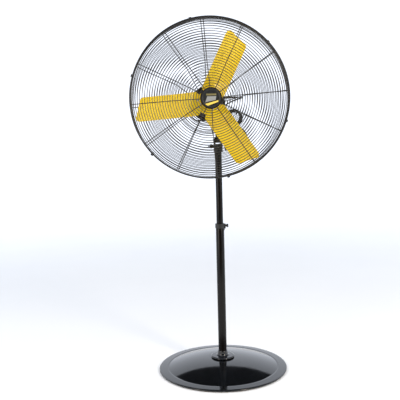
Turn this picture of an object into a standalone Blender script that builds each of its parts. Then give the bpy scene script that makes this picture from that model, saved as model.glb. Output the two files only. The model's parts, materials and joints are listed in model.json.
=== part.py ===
"""Industrial pedestal fan: round dished base, telescopic pole, tilting head and wire cage.

Metres, +Z up. The origin is on the floor, on the pole's axis, and the fan blows towards -Y.
"""

import math

import bmesh
import bpy
import numpy as np
from mathutils import Matrix, Vector

# Running gap kept between pieces that touch.
GAP = 0.0003

# Base: a pressed steel dish with a flat brim, ballast inside and a plate that closes it.
BASE_RADIUS = 0.350
DOME_FOOT_RADIUS = 0.296
DOME_FOOT_HEIGHT = 0.0150
DOME_TOP_HEIGHT = 0.0630
BRIM_EDGE_HEIGHT = 0.0115
SHEET = 0.0018
PLATE_TOP = 0.0015
BASE_STEPS = 52
FLANGE_TOP = 0.0735
NECK_TOP = 0.100
FLANGE_BOLT_CIRCLE = 0.047

# Pole: two tubes that telescope, with a clamp collar on the lower one.
LOWER_TUBE_RADIUS = 0.0225
LOWER_TUBE_BORE = 0.0205
LOWER_TUBE_TOP = 0.7860
UPPER_TUBE_RADIUS = 0.0180
UPPER_TUBE_BORE = 0.0162
UPPER_TUBE_BOTTOM = 0.400
UPPER_TUBE_TOP = 1.2220
TUBE_STEPS = 32
COLLAR_BOTTOM = 0.7800
COLLAR_TOP = 0.8040
COLLAR_RADIUS = 0.0254
HEIGHT_KNOB_Z = 0.7925

# Neck on the pole, and the tilt joint above it.
SLEEVE_BOTTOM = 1.1880
SLEEVE_TOP = 1.2325
SLEEVE_RADIUS = 0.0240
SWIVEL_KNOB_Z = 1.2206
RETAINING_SCREW_Z = 1.2165
PIVOT_Z = 1.2520
EAR_RADIUS = 0.0145
EAR_INSIDE = 0.0137
EAR_OUTSIDE = 0.0200
PIVOT_BOLT_RADIUS = 0.0040

# Head: the motor's axis stands to the left of the pole, on a leaning arm.
HEAD_X = -0.0510
HEAD_Z = 1.4440
ARM_HALF_DEPTH = 0.0065
FOOT_PLATE_BOTTOM = 1.3485
FOOT_PLATE_TOP = 1.3545
FOOT_X = -0.0200
FOOT_HALF_WIDTH = 0.032
FOOT_HEIGHT = 0.0400
FOOT_BOLT_X = 0.020
FOOT_BOLT_Y = 0.024
FOOT_BOLT_LENGTH = 0.0150

# Motor.
MOTOR_RADIUS = 0.0780
MOTOR_BORE = 0.0750
MOTOR_FRONT = -0.0562
MOTOR_REAR = 0.0620
BELL_REAR = 0.0905
SHAFT_RADIUS = 0.0063
MOTOR_STEPS = 40
BELL_STEPS = 32

# Cage: two dished wire guards that meet at the rim. Its rim stands a little above the motor's
# axis and to the right of it, and its badge a little off the rim's centre.
CAGE_X = -0.0430
CAGE_Z = 1.4660
BADGE_X = -0.0380
BADGE_Z = 1.4630
CAGE_RADIUS = 0.4055
RIM_Y = -0.1450
REAR_FACE_Y = -0.0625
FRONT_FACE_Y = -0.2260
FRONT_CROWN = 0.0100
SHOULDER_RADIUS = 0.345
BAND_RADII = (0.190, 0.290)
RIB_COUNT = 12
FIRST_RIB = math.radians(3.6)
RIB_WIDTH = 0.0045
GUARD_STRIP = 0.0050
GUARD_THICKNESS = 0.0036
CLIP_COUNT = 6
FIRST_CLIP = math.radians(42.5)
REAR_HUB_RADIUS = 0.0750
FRONT_HUB_RADIUS = 0.0420
HUB_RING_WIDTH = 0.0120
GUARD_SCREW_CIRCLE = 0.0810
BADGE_RADIUS = 0.0500

# Fan: three broad blades on a round spider.
FAN_Y = -0.1500
SPIDER_RADIUS = 0.0600
SPIDER_THICKNESS = 0.0030
BLADE_COUNT = 3
FIRST_BLADE = math.radians(64.3)
BLADE_HALF_WIDTH = 0.0585
BLADE_THICKNESS = 0.0016
BLADE_ROOT = 0.034
BLADE_TIP = 0.358
TIP_SLANT = 0.013
CAMBER = 0.008
ROOT_PITCH = math.radians(29)
TIP_PITCH = math.radians(19)

# Supply cord.
CORD_RADIUS = 0.0035
GLAND_Y = 0.030
GLAND_Z = 1.4775
BOOT_END = 0.0990
COIL_CENTRE = Vector((0.0856, -0.0445, 1.3686))
COIL_RADIUS = 0.0360
COIL_HALF_WIDTH = 0.0095
COIL_HALF_DEPTH = 0.0145
PLUG_X = 0.1545
PLUG_Y = -0.0400
PLUG_TOP = 1.2320

FEED_ROUTE = (
    (0.0996, 0.0300, 1.4775),
    (0.1075, 0.0302, 1.4775),
    (0.1185, 0.0335, 1.4777),
    (0.1305, 0.0440, 1.4772),
    (0.1365, 0.0600, 1.4762),
    (0.1335, 0.0780, 1.4748),
    (0.1225, 0.0950, 1.4725),
    (0.1030, 0.1065, 1.4670),
    (0.0780, 0.1120, 1.4565),
    (0.0540, 0.1140, 1.4440),
    (0.0350, 0.1145, 1.4330),
    (0.0180, 0.1135, 1.4270),
    (0.0020, 0.1110, 1.4295),
    (-0.0140, 0.1080, 1.4338),
    (-0.0320, 0.1055, 1.4342),
    (-0.0530, 0.1040, 1.4342),
    (-0.0760, 0.1030, 1.4342),
    (-0.0960, 0.1010, 1.4325),
    (-0.1150, 0.0980, 1.4230),
    (-0.1320, 0.0870, 1.4065),
    (-0.1370, 0.0710, 1.3880),
    (-0.1300, 0.0570, 1.3715),
    (-0.1150, 0.0485, 1.3615),
    (-0.0980, 0.0450, 1.3578),
    (-0.0810, 0.0440, 1.3582),
    (-0.0640, 0.0440, 1.3590),
    (-0.0460, 0.0440, 1.3590),
    (-0.0270, 0.0440, 1.3580),
    (-0.0080, 0.0440, 1.3555),
    (0.0090, 0.0432, 1.3525),
    (0.0230, 0.0385, 1.3495),
    (0.0325, 0.0285, 1.3465),
    (0.0365, 0.0150, 1.3440),
    (0.0375, -0.0010, 1.3415),
    (0.0390, -0.0180, 1.3385),
    (0.0430, -0.0340, 1.3350),
    (0.0500, -0.0440, 1.3310),
)
TAIL_ROUTE = (
    (0.1010, -0.0445, 1.3205),
    (0.1175, -0.0445, 1.3140),
    (0.1365, -0.0440, 1.2975),
    (0.1495, -0.0430, 1.2720),
    (0.1545, -0.0410, 1.2480),
    (0.1545, -0.0400, 1.2400),
    (0.1545, -0.0400, 1.2324),
)

MATERIALS = {
    # name: (linear colour, roughness, metallic)
    "base_black": ((0.012, 0.013, 0.015), 0.12, 0.0),
    "tube_black": ((0.010, 0.008, 0.007), 0.25, 0.0),
    "cast_black": ((0.016, 0.017, 0.016), 0.45, 0.0),
    "wire_black": ((0.018, 0.016, 0.013), 0.40, 0.0),
    "motor_black": ((0.014, 0.013, 0.012), 0.45, 0.0),
    "blade_yellow": ((0.80, 0.52, 0.045), 0.40, 0.0),
    "badge_black": ((0.020, 0.021, 0.021), 0.35, 0.0),
    "rubber_black": ((0.012, 0.012, 0.012), 0.70, 0.0),
    "plastic_black": ((0.015, 0.015, 0.015), 0.50, 0.0),
    "nylon_white": ((0.70, 0.68, 0.62), 0.50, 0.0),
    "zinc": ((0.55, 0.55, 0.56), 0.35, 1.0),
    "steel": ((0.45, 0.45, 0.46), 0.30, 1.0),
    "iron_grey": ((0.12, 0.12, 0.12), 0.60, 0.6),
    "copper": ((0.60, 0.25, 0.10), 0.35, 1.0),
}

AXIS_TURN = {
    "Z": Matrix.Identity(4),
    "Y": Matrix.Rotation(math.radians(-90), 4, "X"),
    "X": Matrix.Rotation(math.radians(90), 4, "Y"),
}


# ---------------------------------------------------------------- helpers


def clear_scene():
    for obj in list(bpy.data.objects):
        bpy.data.objects.remove(obj, do_unlink=True)


def material(name):
    """The named Principled material, made the first time it is asked for."""
    found = bpy.data.materials.get(name)
    if found:
        return found
    colour, roughness, metallic = MATERIALS[name]
    made = bpy.data.materials.new(name)
    made.use_nodes = True
    shader = made.node_tree.nodes["Principled BSDF"]
    shader.inputs["Base Color"].default_value = (*colour, 1.0)
    shader.inputs["Roughness"].default_value = roughness
    shader.inputs["Metallic"].default_value = metallic
    return made


def add_empty(name, location, parent=None):
    """An empty on a joint's axis, which carries the pieces that move with it."""
    empty = bpy.data.objects.new(name, None)
    bpy.context.scene.collection.objects.link(empty)
    put(empty, location, parent)
    return empty


def put(obj, location, parent=None):
    """Places an object at a world location. Parents only translate, so locations subtract."""
    obj["world"] = tuple(location)
    obj.parent = parent
    start = Vector(parent["world"]) if parent else Vector()
    obj.location = Vector(location) - start
    return obj


def add_object(name, bm, material_name, location=(0, 0, 0), parent=None):
    """Makes an object from a bmesh whose coordinates are relative to location."""
    bmesh.ops.recalc_face_normals(bm, faces=bm.faces)
    if bm.calc_volume(signed=True) < 0:
        bmesh.ops.reverse_faces(bm, faces=bm.faces)
    mesh = bpy.data.meshes.new(name)
    bm.to_mesh(mesh)
    bm.free()
    mesh.shade_smooth()
    mesh.set_sharp_from_angle(angle=math.radians(35))
    mesh.materials.append(material(material_name))
    obj = bpy.data.objects.new(name, mesh)
    bpy.context.scene.collection.objects.link(obj)
    return put(obj, location, parent)


def turned(profile, axis="Z", steps=TUBE_STEPS, ring=True):
    """A bmesh turned from (radius, height) points. A ring's outline closes on itself; the
    other kind starts and ends on the axis."""
    bm = bmesh.new()
    verts = [bm.verts.new((radius, 0, height)) for radius, height in profile]
    edges = [bm.edges.new(pair) for pair in zip(verts, verts[1:])]
    if ring:
        edges.append(bm.edges.new((verts[-1], verts[0])))
    bmesh.ops.spin(
        bm,
        geom=verts + edges,
        cent=(0, 0, 0),
        axis=(0, 0, 1),
        angle=math.tau,
        steps=steps,
        use_merge=True,
    )
    bmesh.ops.remove_doubles(bm, verts=bm.verts, dist=1e-6)
    bm.transform(AXIS_TURN[axis])
    return bm


def block(size, centre=(0, 0, 0), bevel=0.0, segments=1):
    """A box of the given size, with its edges bevelled."""
    bm = bmesh.new()
    bmesh.ops.create_cube(bm, size=1.0)
    bmesh.ops.scale(bm, vec=size, verts=bm.verts)
    if bevel:
        bmesh.ops.bevel(
            bm, geom=bm.edges, offset=bevel, segments=segments, affect="EDGES", profile=0.5
        )
    bmesh.ops.translate(bm, vec=centre, verts=bm.verts)
    return bm


def rod(radius, start, end, axis, steps=16, centre=(0, 0)):
    """A plain cylinder along an axis from start to end, centred across it."""
    bm = turned([(0, start), (radius, start), (radius, end), (0, end)], axis, steps, ring=False)
    across = {"X": (0, centre[0], centre[1]), "Y": (centre[0], 0, centre[1])}
    across["Z"] = (centre[0], centre[1], 0)
    bmesh.ops.translate(bm, vec=across[axis], verts=bm.verts)
    return bm


def hexagon_bolt(head_radius, head_height, shank_radius, shank_length, axis):
    """A bolt with its head's bearing face at zero and its shank going the positive way."""
    profile = [(0, -head_height), (head_radius, -head_height), (head_radius, 0)]
    profile += [(shank_radius, 0), (shank_radius, shank_length), (0, shank_length)]
    return turned(profile, axis, 6, ring=False)


def extruded(outline, half_depth, axis="Y"):
    """A plate with the given outline. The outline is (x, z) for axis Y and (y, z) for axis X."""
    bm = bmesh.new()
    if axis == "Y":
        verts = [bm.verts.new((x, -half_depth, z)) for x, z in outline]
        step = (0, 2 * half_depth, 0)
    else:
        verts = [bm.verts.new((-half_depth, y, z)) for y, z in outline]
        step = (2 * half_depth, 0, 0)
    face = bm.faces.new(verts)
    grown = bmesh.ops.extrude_face_region(bm, geom=[face])
    moved = [item for item in grown["geom"] if isinstance(item, bmesh.types.BMVert)]
    bmesh.ops.translate(bm, vec=step, verts=moved)
    return bm


def arc(centre, radius, start, end, steps):
    """Points of an arc in a plane, with both ends."""
    angles = [start + (end - start) * i / steps for i in range(steps + 1)]
    return [(centre[0] + radius * math.cos(a), centre[1] + radius * math.sin(a)) for a in angles]


def merged(*parts):
    """One bmesh that holds several, for a cutter."""
    whole = bmesh.new()
    for part in parts:
        mesh = bpy.data.meshes.new("part")
        part.to_mesh(mesh)
        part.free()
        whole.from_mesh(mesh)
        bpy.data.meshes.remove(mesh)
    return whole


def helper(name, bm, parent=None, location=(0, 0, 0)):
    """An object that only shapes others and is left out of the part."""
    obj = add_object(name, bm, "steel", location, parent)
    obj.hide_render = True
    obj.display_type = "WIRE"
    return obj


def combine(obj, other, operation):
    """Adds a Boolean of obj with a helper."""
    modifier = obj.modifiers.new(operation.lower() + "_" + other.name, "BOOLEAN")
    modifier.operation = operation
    modifier.object = other
    modifier.solver = "EXACT"


def around(count, radius, first=0.0):
    """(angle, x, y) of points spaced evenly round a circle."""
    for index in range(count):
        angle = first + math.tau * index / count
        yield angle, radius * math.cos(angle), radius * math.sin(angle)


def smooth_route(points, spacing):
    """Points read at equal steps from a smooth curve through the given ones."""
    route = np.array(points, dtype=float)
    before = 2 * route[0] - route[1]
    after = 2 * route[-1] - route[-2]
    padded = np.vstack([before, route, after])
    dense = []
    for p0, p1, p2, p3 in zip(padded, padded[1:], padded[2:], padded[3:]):
        for t in np.linspace(0, 1, 16, endpoint=False):
            dense.append(
                0.5 * (2 * p1 + (p2 - p0) * t + (2 * p0 - 5 * p1 + 4 * p2 - p3) * t**2
                       + (3 * p1 - p0 - 3 * p2 + p3) * t**3)
            )
    dense.append(route[-1])
    dense = np.array(dense)
    run = np.concatenate([[0], np.cumsum(np.linalg.norm(np.diff(dense, axis=0), axis=1))])
    count = max(2, round(run[-1] / spacing) + 1)
    wanted = np.linspace(0, run[-1], count)
    return np.stack([np.interp(wanted, run, dense[:, k]) for k in range(3)], axis=1)


def cord_tube(name, route, parent):
    """A round tube along a route, with its ends closed."""
    curve = bpy.data.curves.new(name, "CURVE")
    curve.dimensions = "3D"
    curve.bevel_depth = CORD_RADIUS
    curve.bevel_resolution = 2
    curve.use_fill_caps = True
    curve.render_resolution_u = 0
    points = smooth_route(route, CORD_RADIUS * 5)
    spline = curve.splines.new("POLY")
    spline.points.add(len(points) - 1)
    start = Vector(parent["world"])
    for point, place in zip(spline.points, points):
        point.co = (*(Vector(place) - start), 1.0)
    curve.materials.append(material("rubber_black"))
    obj = bpy.data.objects.new(name, curve)
    bpy.context.scene.collection.objects.link(obj)
    return put(obj, start, parent)


# ---------------------------------------------------------------- base


def dome_height(radius):
    """Height of the dish's outer face: a parabola from the pole down to the brim."""
    inner = LOWER_TUBE_RADIUS
    t = (radius - inner) / (DOME_FOOT_RADIUS - inner)
    return DOME_FOOT_HEIGHT + (DOME_TOP_HEIGHT - DOME_FOOT_HEIGHT) * (1 - t * t)


def make_base():
    hole = LOWER_TUBE_RADIUS + 0.001
    radii = [hole + (DOME_FOOT_RADIUS - hole) * i / 6 for i in range(7)]
    outer = [(r, dome_height(r)) for r in radii]
    outer += [(0.302, DOME_FOOT_HEIGHT - 0.0004), (0.343, BRIM_EDGE_HEIGHT)]
    outer += arc((0.3445, 0.0060), 0.0055, math.radians(75), 0.0, 2)
    outer.append((BASE_RADIUS, 0.0))
    inner = [(BASE_RADIUS - SHEET, 0.0), (BASE_RADIUS - SHEET, 0.0060), (0.343, 0.0097)]
    inner += [(0.302, DOME_FOOT_HEIGHT - 0.0004 - SHEET)]
    inner += [(r, dome_height(r) - SHEET) for r in reversed(radii)]
    shell = add_object("base_shell", turned(outer + inner, "Z", BASE_STEPS), "base_black")

    low = PLATE_TOP + GAP
    ballast = [(0.062, low), (0.200, low), (0.200, low + 0.010), (0.062, low + 0.010)]
    add_object("base_ballast", turned(ballast, "Z", TUBE_STEPS), "iron_grey")

    plate = [(0, 0), (0.3470, 0), (0.3470, PLATE_TOP), (0, PLATE_TOP)]
    add_object("base_bottom_plate", turned(plate, "Z", BASE_STEPS, ring=False), "cast_black")

    bore = LOWER_TUBE_RADIUS + GAP
    seat = DOME_TOP_HEIGHT + GAP
    casting = [(bore, seat), (0.0610, seat)]
    casting += arc((0.0600, seat + 0.0042), 0.0040, math.radians(-60), math.radians(60), 3)
    casting += [(0.0585, FLANGE_TOP - 0.0004), (0.0360, FLANGE_TOP)]
    casting += arc((0.0360, FLANGE_TOP + 0.0090), 0.0090, math.radians(-110), math.radians(-170), 3)
    casting += [(0.0252, NECK_TOP - 0.001), (0.0242, NECK_TOP), (bore, NECK_TOP)]
    flange = add_object("pole_flange", turned(casting, "Z", TUBE_STEPS), "base_black")

    bolts = list(around(3, FLANGE_BOLT_CIRCLE, math.radians(30)))
    holes = merged(*[rod(0.0034, 0.050, 0.0712, "Z", 12, (x, y)) for _, x, y in bolts])
    cutter = helper("cutter_flange_bolts", holes)
    combine(shell, cutter, "DIFFERENCE")
    combine(flange, cutter, "DIFFERENCE")
    for number, (_, x, y) in enumerate(bolts, 1):
        bolt = hexagon_bolt(0.0065, 0.0045, 0.0030, 0.0105, "Z")
        add_object(f"flange_bolt_{number}", bolt, "zinc", (x, y, 0.0602))


# ---------------------------------------------------------------- pole


def make_lower_pole():
    bottom = PLATE_TOP + GAP
    tube = [(LOWER_TUBE_BORE, bottom), (LOWER_TUBE_RADIUS, bottom)]
    tube += [(LOWER_TUBE_RADIUS, LOWER_TUBE_TOP), (LOWER_TUBE_BORE, LOWER_TUBE_TOP)]
    add_object("lower_tube", turned(tube), "tube_black")

    inside = UPPER_TUBE_RADIUS + GAP
    outside = LOWER_TUBE_BORE - GAP
    bush = [(inside, 0.716), (outside, 0.716), (outside, LOWER_TUBE_TOP), (inside, LOWER_TUBE_TOP)]
    add_object("tube_bushing", turned(bush), "nylon_white")

    seat = LOWER_TUBE_RADIUS + GAP
    step = LOWER_TUBE_TOP + GAP
    ring = [(seat, COLLAR_BOTTOM), (COLLAR_RADIUS - 0.0006, COLLAR_BOTTOM)]
    ring += [(COLLAR_RADIUS, COLLAR_BOTTOM + 0.0006), (COLLAR_RADIUS, COLLAR_TOP - 0.0010)]
    ring += [(COLLAR_RADIUS - 0.0010, COLLAR_TOP), (inside, COLLAR_TOP), (inside, step), (seat, step)]
    collar = add_object("height_collar", turned(ring), "cast_black")
    lug = [(0.0236, 0.7660), (0.0312, 0.7830), (0.0312, 0.8020), (0.0236, 0.8020)]
    combine(collar, helper("helper_collar_lug", extruded(lug, 0.0075)), "UNION")
    hole = rod(0.0034, 0.0170, 0.0330, "X", 14, (0, HEIGHT_KNOB_Z))
    combine(collar, helper("cutter_collar_hole", hole), "DIFFERENCE")


def clamp_knob(stem_tip, stem_end, length, radius, sign, tip=0.0):
    """A hand knob turned about X: its stem starts at stem_tip, on the side given by sign."""
    back = stem_end + length
    profile = [(0, stem_tip), (0.0028, stem_tip), (0.0030, stem_tip + 0.0004), (0.0030, stem_end)]
    profile += [(radius * 0.62, stem_end), (radius * 0.66, stem_end + length * 0.25)]
    profile += [(radius * 0.96, stem_end + length * 0.40), (radius, stem_end + length * 0.50)]
    profile += [(radius, back - length * 0.18), (radius * 0.88, back)]
    if tip:
        profile += [(0.0024, back), (0.0022, back + tip)]
        back += tip
    profile.append((0, back))
    if sign < 0:
        profile = [(r, -h) for r, h in profile]
    return turned(profile, "X", 20, ring=False)


def make_height_knob():
    axis = add_empty("axis_height_knob", (0, 0, HEIGHT_KNOB_Z))
    knob = clamp_knob(UPPER_TUBE_RADIUS + 0.0004, 0.0316, 0.0135, 0.0092, 1)
    add_object("height_knob", knob, "plastic_black", (0, 0, HEIGHT_KNOB_Z), axis)


def make_upper_pole(mast):
    tube = [(UPPER_TUBE_BORE, UPPER_TUBE_BOTTOM), (UPPER_TUBE_RADIUS, UPPER_TUBE_BOTTOM)]
    tube += [(UPPER_TUBE_RADIUS, UPPER_TUBE_TOP), (UPPER_TUBE_BORE, UPPER_TUBE_TOP)]
    add_object("upper_tube", turned(tube), "tube_black", (0, 0, 0), mast)
    inside = UPPER_TUBE_RADIUS + GAP
    low = UPPER_TUBE_BOTTOM + 0.004
    glide = [(inside, low), (0.0200, low), (0.0200, low + 0.030), (inside, low + 0.030)]
    add_object("glide_bush", turned(glide), "nylon_white", (0, 0, 0), mast)


# ---------------------------------------------------------------- neck and tilt joint


def make_neck(neck):
    bore = UPPER_TUBE_RADIUS + GAP
    sleeve = [(0, SLEEVE_TOP), (SLEEVE_RADIUS - 0.0015, SLEEVE_TOP)]
    sleeve += [(SLEEVE_RADIUS, SLEEVE_TOP - 0.0020), (SLEEVE_RADIUS, SLEEVE_BOTTOM + 0.0010)]
    sleeve += [(SLEEVE_RADIUS - 0.0010, SLEEVE_BOTTOM), (bore, SLEEVE_BOTTOM)]
    sleeve += [(bore, UPPER_TUBE_TOP + 0.0030), (0, UPPER_TUBE_TOP + 0.0030)]
    casting = add_object("neck_fork", turned(sleeve, ring=False), "cast_black", (0, 0, 0), neck)
    outline = [(EAR_RADIUS, SLEEVE_TOP - 0.0030)]
    outline += arc((0, PIVOT_Z), EAR_RADIUS, 0.0, math.pi, 10)
    outline.append((-EAR_RADIUS, SLEEVE_TOP - 0.0030))
    half = (EAR_OUTSIDE - EAR_INSIDE) / 2
    for name, side in (("left", -1), ("right", 1)):
        ear = extruded(outline, half, "X")
        bmesh.ops.translate(ear, vec=(side * (EAR_INSIDE + half), 0, 0), verts=ear.verts)
        combine(casting, helper(f"helper_{name}_ear", ear, neck), "UNION")
    holes = merged(
        rod(PIVOT_BOLT_RADIUS + GAP, -0.024, 0.024, "X", 16, (0, PIVOT_Z)),
        rod(0.0034, -0.0260, -0.0170, "X", 14, (0, SWIVEL_KNOB_Z)),
        rod(0.0028, -0.0260, -0.0170, "Y", 14, (0, RETAINING_SCREW_Z)),
    )
    combine(casting, helper("cutter_neck_holes", holes, neck), "DIFFERENCE")

    screw = hexagon_bolt(0.0058, 0.0045, 0.0025, 0.0055, "Y")
    add_object("retaining_screw", screw, "zinc", (0, -SLEEVE_RADIUS - GAP, RETAINING_SCREW_Z), neck)

    bolt = hexagon_bolt(0.0078, 0.0058, PIVOT_BOLT_RADIUS, 0.0500, "X")
    add_object("tilt_bolt", bolt, "zinc", (-EAR_OUTSIDE - GAP, 0, PIVOT_Z), neck)

    axis = add_empty("axis_swivel_knob", (0, 0, SWIVEL_KNOB_Z), neck)
    knob = clamp_knob(UPPER_TUBE_RADIUS + 0.0004, 0.0252, 0.0185, 0.0115, -1, 0.0105)
    add_object("swivel_knob", knob, "plastic_black", (0, 0, SWIVEL_KNOB_Z), axis)


def make_tilt_lever(neck):
    """The clamp handle on the end of the pivot bolt, hanging down and leaning outwards."""
    axis = add_empty("axis_tilt_lever", (0, 0, PIVOT_Z), neck)
    near = EAR_OUTSIDE + GAP
    bore = PIVOT_BOLT_RADIUS + GAP
    hub = [(bore, near), (0.0085, near), (0.0085, 0.0320), (0.0070, 0.0335), (bore, 0.0335)]
    lever = add_object("tilt_lever", turned(hub, "X", 20), "cast_black", (0, 0, PIVOT_Z), axis)
    start = Vector((0.0270, 0, -0.0050))
    end = Vector((0.0435, 0, -0.0560))
    along = end - start
    arm = turned(
        [(0, 0), (0.0036, 0), (0.0040, along.length * 0.55), (0.0055, along.length * 0.85),
         (0.0048, along.length * 0.97), (0, along.length)],
        "Z", 12, ring=False,
    )
    arm.transform(Vector((0, 0, 1)).rotation_difference(along).to_matrix().to_4x4())
    bmesh.ops.translate(arm, vec=start, verts=arm.verts)
    combine(lever, helper("helper_lever_arm", arm, axis, (0, 0, PIVOT_Z)), "UNION")


def make_tilt_arm(head):
    boss = rod(0.0140, -EAR_INSIDE + GAP, EAR_INSIDE - GAP, "X", 28, (0, PIVOT_Z))
    arm = add_object("tilt_arm", boss, "cast_black", (0, 0, 0), head)
    plate = [(-0.0128, PIVOT_Z), (0.0128, PIVOT_Z), (0.0128, 1.2690), (0.0200, 1.2830)]
    plate += [(0.0160, 1.3150), (0.0160, 1.3495), (-0.0560, 1.3495), (-0.0400, 1.3370)]
    plate += [(-0.0235, 1.3130), (-0.0128, 1.2920), (-0.0128, 1.2700)]
    combine(arm, helper("helper_arm_plate", extruded(plate, ARM_HALF_DEPTH), head), "UNION")
    middle = (FOOT_X, 0, (FOOT_PLATE_BOTTOM + FOOT_PLATE_TOP) / 2)
    size = (2 * FOOT_HALF_WIDTH + 0.012, 0.070, FOOT_PLATE_TOP - FOOT_PLATE_BOTTOM)
    combine(arm, helper("helper_foot_plate", block(size, middle), head), "UNION")

    foot_size = (2 * FOOT_HALF_WIDTH, 0.064, FOOT_HEIGHT)
    foot_middle = (FOOT_X, 0, FOOT_PLATE_TOP + GAP + foot_size[2] / 2)
    foot = add_object("motor_foot", block(foot_size, foot_middle), "motor_black", (0, 0, 0), head)
    cradle = rod(MOTOR_RADIUS + GAP, -0.050, 0.050, "Y", MOTOR_STEPS, (HEAD_X, HEAD_Z))
    combine(foot, helper("cutter_motor_foot", cradle, head), "DIFFERENCE")

    places = [(FOOT_X - FOOT_BOLT_X, -FOOT_BOLT_Y), (FOOT_X + FOOT_BOLT_X, FOOT_BOLT_Y)]
    hole_top = FOOT_PLATE_BOTTOM + FOOT_BOLT_LENGTH + 0.0010
    holes = merged(*[rod(0.0034, 1.3380, hole_top, "Z", 12, place) for place in places])
    cutter = helper("cutter_foot_bolts", holes, head)
    combine(arm, cutter, "DIFFERENCE")
    combine(foot, cutter, "DIFFERENCE")
    bore = rod(PIVOT_BOLT_RADIUS + GAP, -0.030, 0.030, "X", 16, (0, PIVOT_Z))
    combine(arm, helper("cutter_arm_bore", bore, head), "DIFFERENCE")
    for number, (x, y) in enumerate(places, 1):
        bolt = hexagon_bolt(0.0065, 0.0045, 0.0030, FOOT_BOLT_LENGTH, "Z")
        place = (x, y, FOOT_PLATE_BOTTOM - GAP)
        add_object(f"foot_bolt_{number}", bolt, "zinc", place, head)


# ---------------------------------------------------------------- motor


def make_motor(head):
    centre = (HEAD_X, 0, HEAD_Z)
    shell = [(MOTOR_BORE, MOTOR_FRONT), (MOTOR_RADIUS, MOTOR_FRONT)]
    shell += [(MOTOR_RADIUS, MOTOR_REAR), (MOTOR_BORE, MOTOR_REAR)]
    add_object("motor_shell", turned(shell, "Y", MOTOR_STEPS), "motor_black", centre, head)

    spigot = MOTOR_BORE - GAP
    lip = MOTOR_FRONT - GAP
    front = [(0.0092, -0.0800), (0.0220, -0.0800), (0.0260, -0.0760), (0.0600, -0.0710)]
    front += [(0.0740, -0.0645), (0.0740, -0.0602), (0.0870, -0.0602), (0.0870, lip)]
    front += [(spigot, lip), (spigot, -0.0500), (0.0700, -0.0500), (0.0700, -0.0580)]
    front += [(0.0580, -0.0660), (0.0195, -0.0705), (0.0195, -0.0580), (0.0156, -0.0580)]
    front += [(0.0156, -0.0690), (0.0092, -0.0690)]
    bell = add_object("motor_front_bell", turned(front, "Y", BELL_STEPS), "motor_black", centre, head)

    seat = MOTOR_REAR + GAP
    rear = [(0, BELL_REAR), (0.0700, BELL_REAR), (0.0755, 0.0880), (MOTOR_RADIUS, 0.0820)]
    rear += [(MOTOR_RADIUS, seat), (spigot, seat), (spigot, 0.0560), (0.0710, 0.0560)]
    rear += [(0.0710, 0.0800), (0.0660, 0.0860), (0.0195, 0.0860), (0.0195, 0.0680)]
    rear += [(0.0156, 0.0680), (0.0156, 0.0800), (0, 0.0800)]
    add_object("motor_rear_bell", turned(rear, "Y", BELL_STEPS, ring=False), "motor_black", centre, head)

    bearing = SHAFT_RADIUS + GAP
    for name, near, far in (("front", -0.0686, -0.0590), ("rear", 0.0690, 0.0790)):
        race = [(bearing, near), (0.0153, near), (0.0153, far), (bearing, far)]
        add_object(f"{name}_bearing", turned(race, "Y", 20), "steel", centre, head)

    stator = [(0.0430, -0.0220), (0.0470, -0.0340), (0.0640, -0.0340), (0.0660, -0.0220)]
    stator += [(0.0745, -0.0220), (0.0745, 0.0220), (0.0660, 0.0220), (0.0640, 0.0340)]
    stator += [(0.0470, 0.0340), (0.0430, 0.0220)]
    add_object("stator", turned(stator, "Y", 28), "copper", centre, head)

    screws = list(around(3, GUARD_SCREW_CIRCLE, math.radians(50)))
    holes = merged(*[rod(0.0027, -0.0800, -0.0500, "Y", 12, (x, z)) for _, x, z in screws])
    cutter = helper("cutter_guard_screws", holes, head, centre)
    combine(bell, cutter, "DIFFERENCE")
    for number, (_, x, z) in enumerate(screws, 1):
        screw = hexagon_bolt(0.0055, 0.0030, 0.0024, 0.0080, "Y")
        place = (HEAD_X + x, REAR_FACE_Y - GUARD_THICKNESS / 2 - GAP, HEAD_Z + z)
        add_object(f"guard_screw_{number}", screw, "zinc", place, head)
    return cutter


def make_switch(head):
    """A box on the back of the motor that holds the speed switch and the capacitor."""
    height = 0.0460
    middle_z = HEAD_Z - 0.0370
    near = BELL_REAR + GAP
    depth = 0.0252
    wall = 0.0020
    box = block((0.068, depth, height), (HEAD_X, near + depth / 2, middle_z), 0.003, 2)
    case = add_object("switch_box", box, "plastic_black", (0, 0, 0), head)
    room_depth = depth - wall + 0.010
    room = block(
        (0.068 - 2 * wall, room_depth, height - 2 * wall),
        (HEAD_X, near - 0.010 + room_depth / 2, middle_z),
    )
    combine(case, helper("cutter_switch_room", room, head), "DIFFERENCE")
    knob_x = HEAD_X - 0.012
    hole = rod(0.0034, 0.1100, 0.1200, "Y", 14, (knob_x, middle_z))
    combine(case, helper("cutter_switch_hole", hole, head), "DIFFERENCE")

    module = block((0.022, 0.0130, 0.024), (knob_x, 0.1072, middle_z), 0.001)
    add_object("speed_switch", module, "nylon_white", (0, 0, 0), head)
    can = rod(0.0100, middle_z - 0.017, middle_z + 0.017, "Z", 20, (HEAD_X + 0.018, 0.1030))
    add_object("capacitor", can, "zinc", (0, 0, 0), head)

    axis = add_empty("axis_switch_knob", (knob_x, 0, middle_z), head)
    outside = near + depth + GAP
    profile = [(0, 0.1140), (0.0030, 0.1140), (0.0030, outside), (0.0130, outside)]
    profile += [(0.0125, outside + 0.0040), (0.0080, outside + 0.0050)]
    profile += [(0.0075, outside + 0.0120), (0, outside + 0.0125)]
    knob = add_object(
        "switch_knob", turned(profile, "Y", 20, ring=False), "plastic_black",
        (knob_x, 0, middle_z), axis,
    )
    grip = block((0.0050, 0.0110, 0.0220), (0, outside + 0.0070, 0), 0.001)
    combine(knob, helper("helper_knob_grip", grip, axis, (knob_x, 0, middle_z)), "UNION")


# ---------------------------------------------------------------- cage


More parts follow.
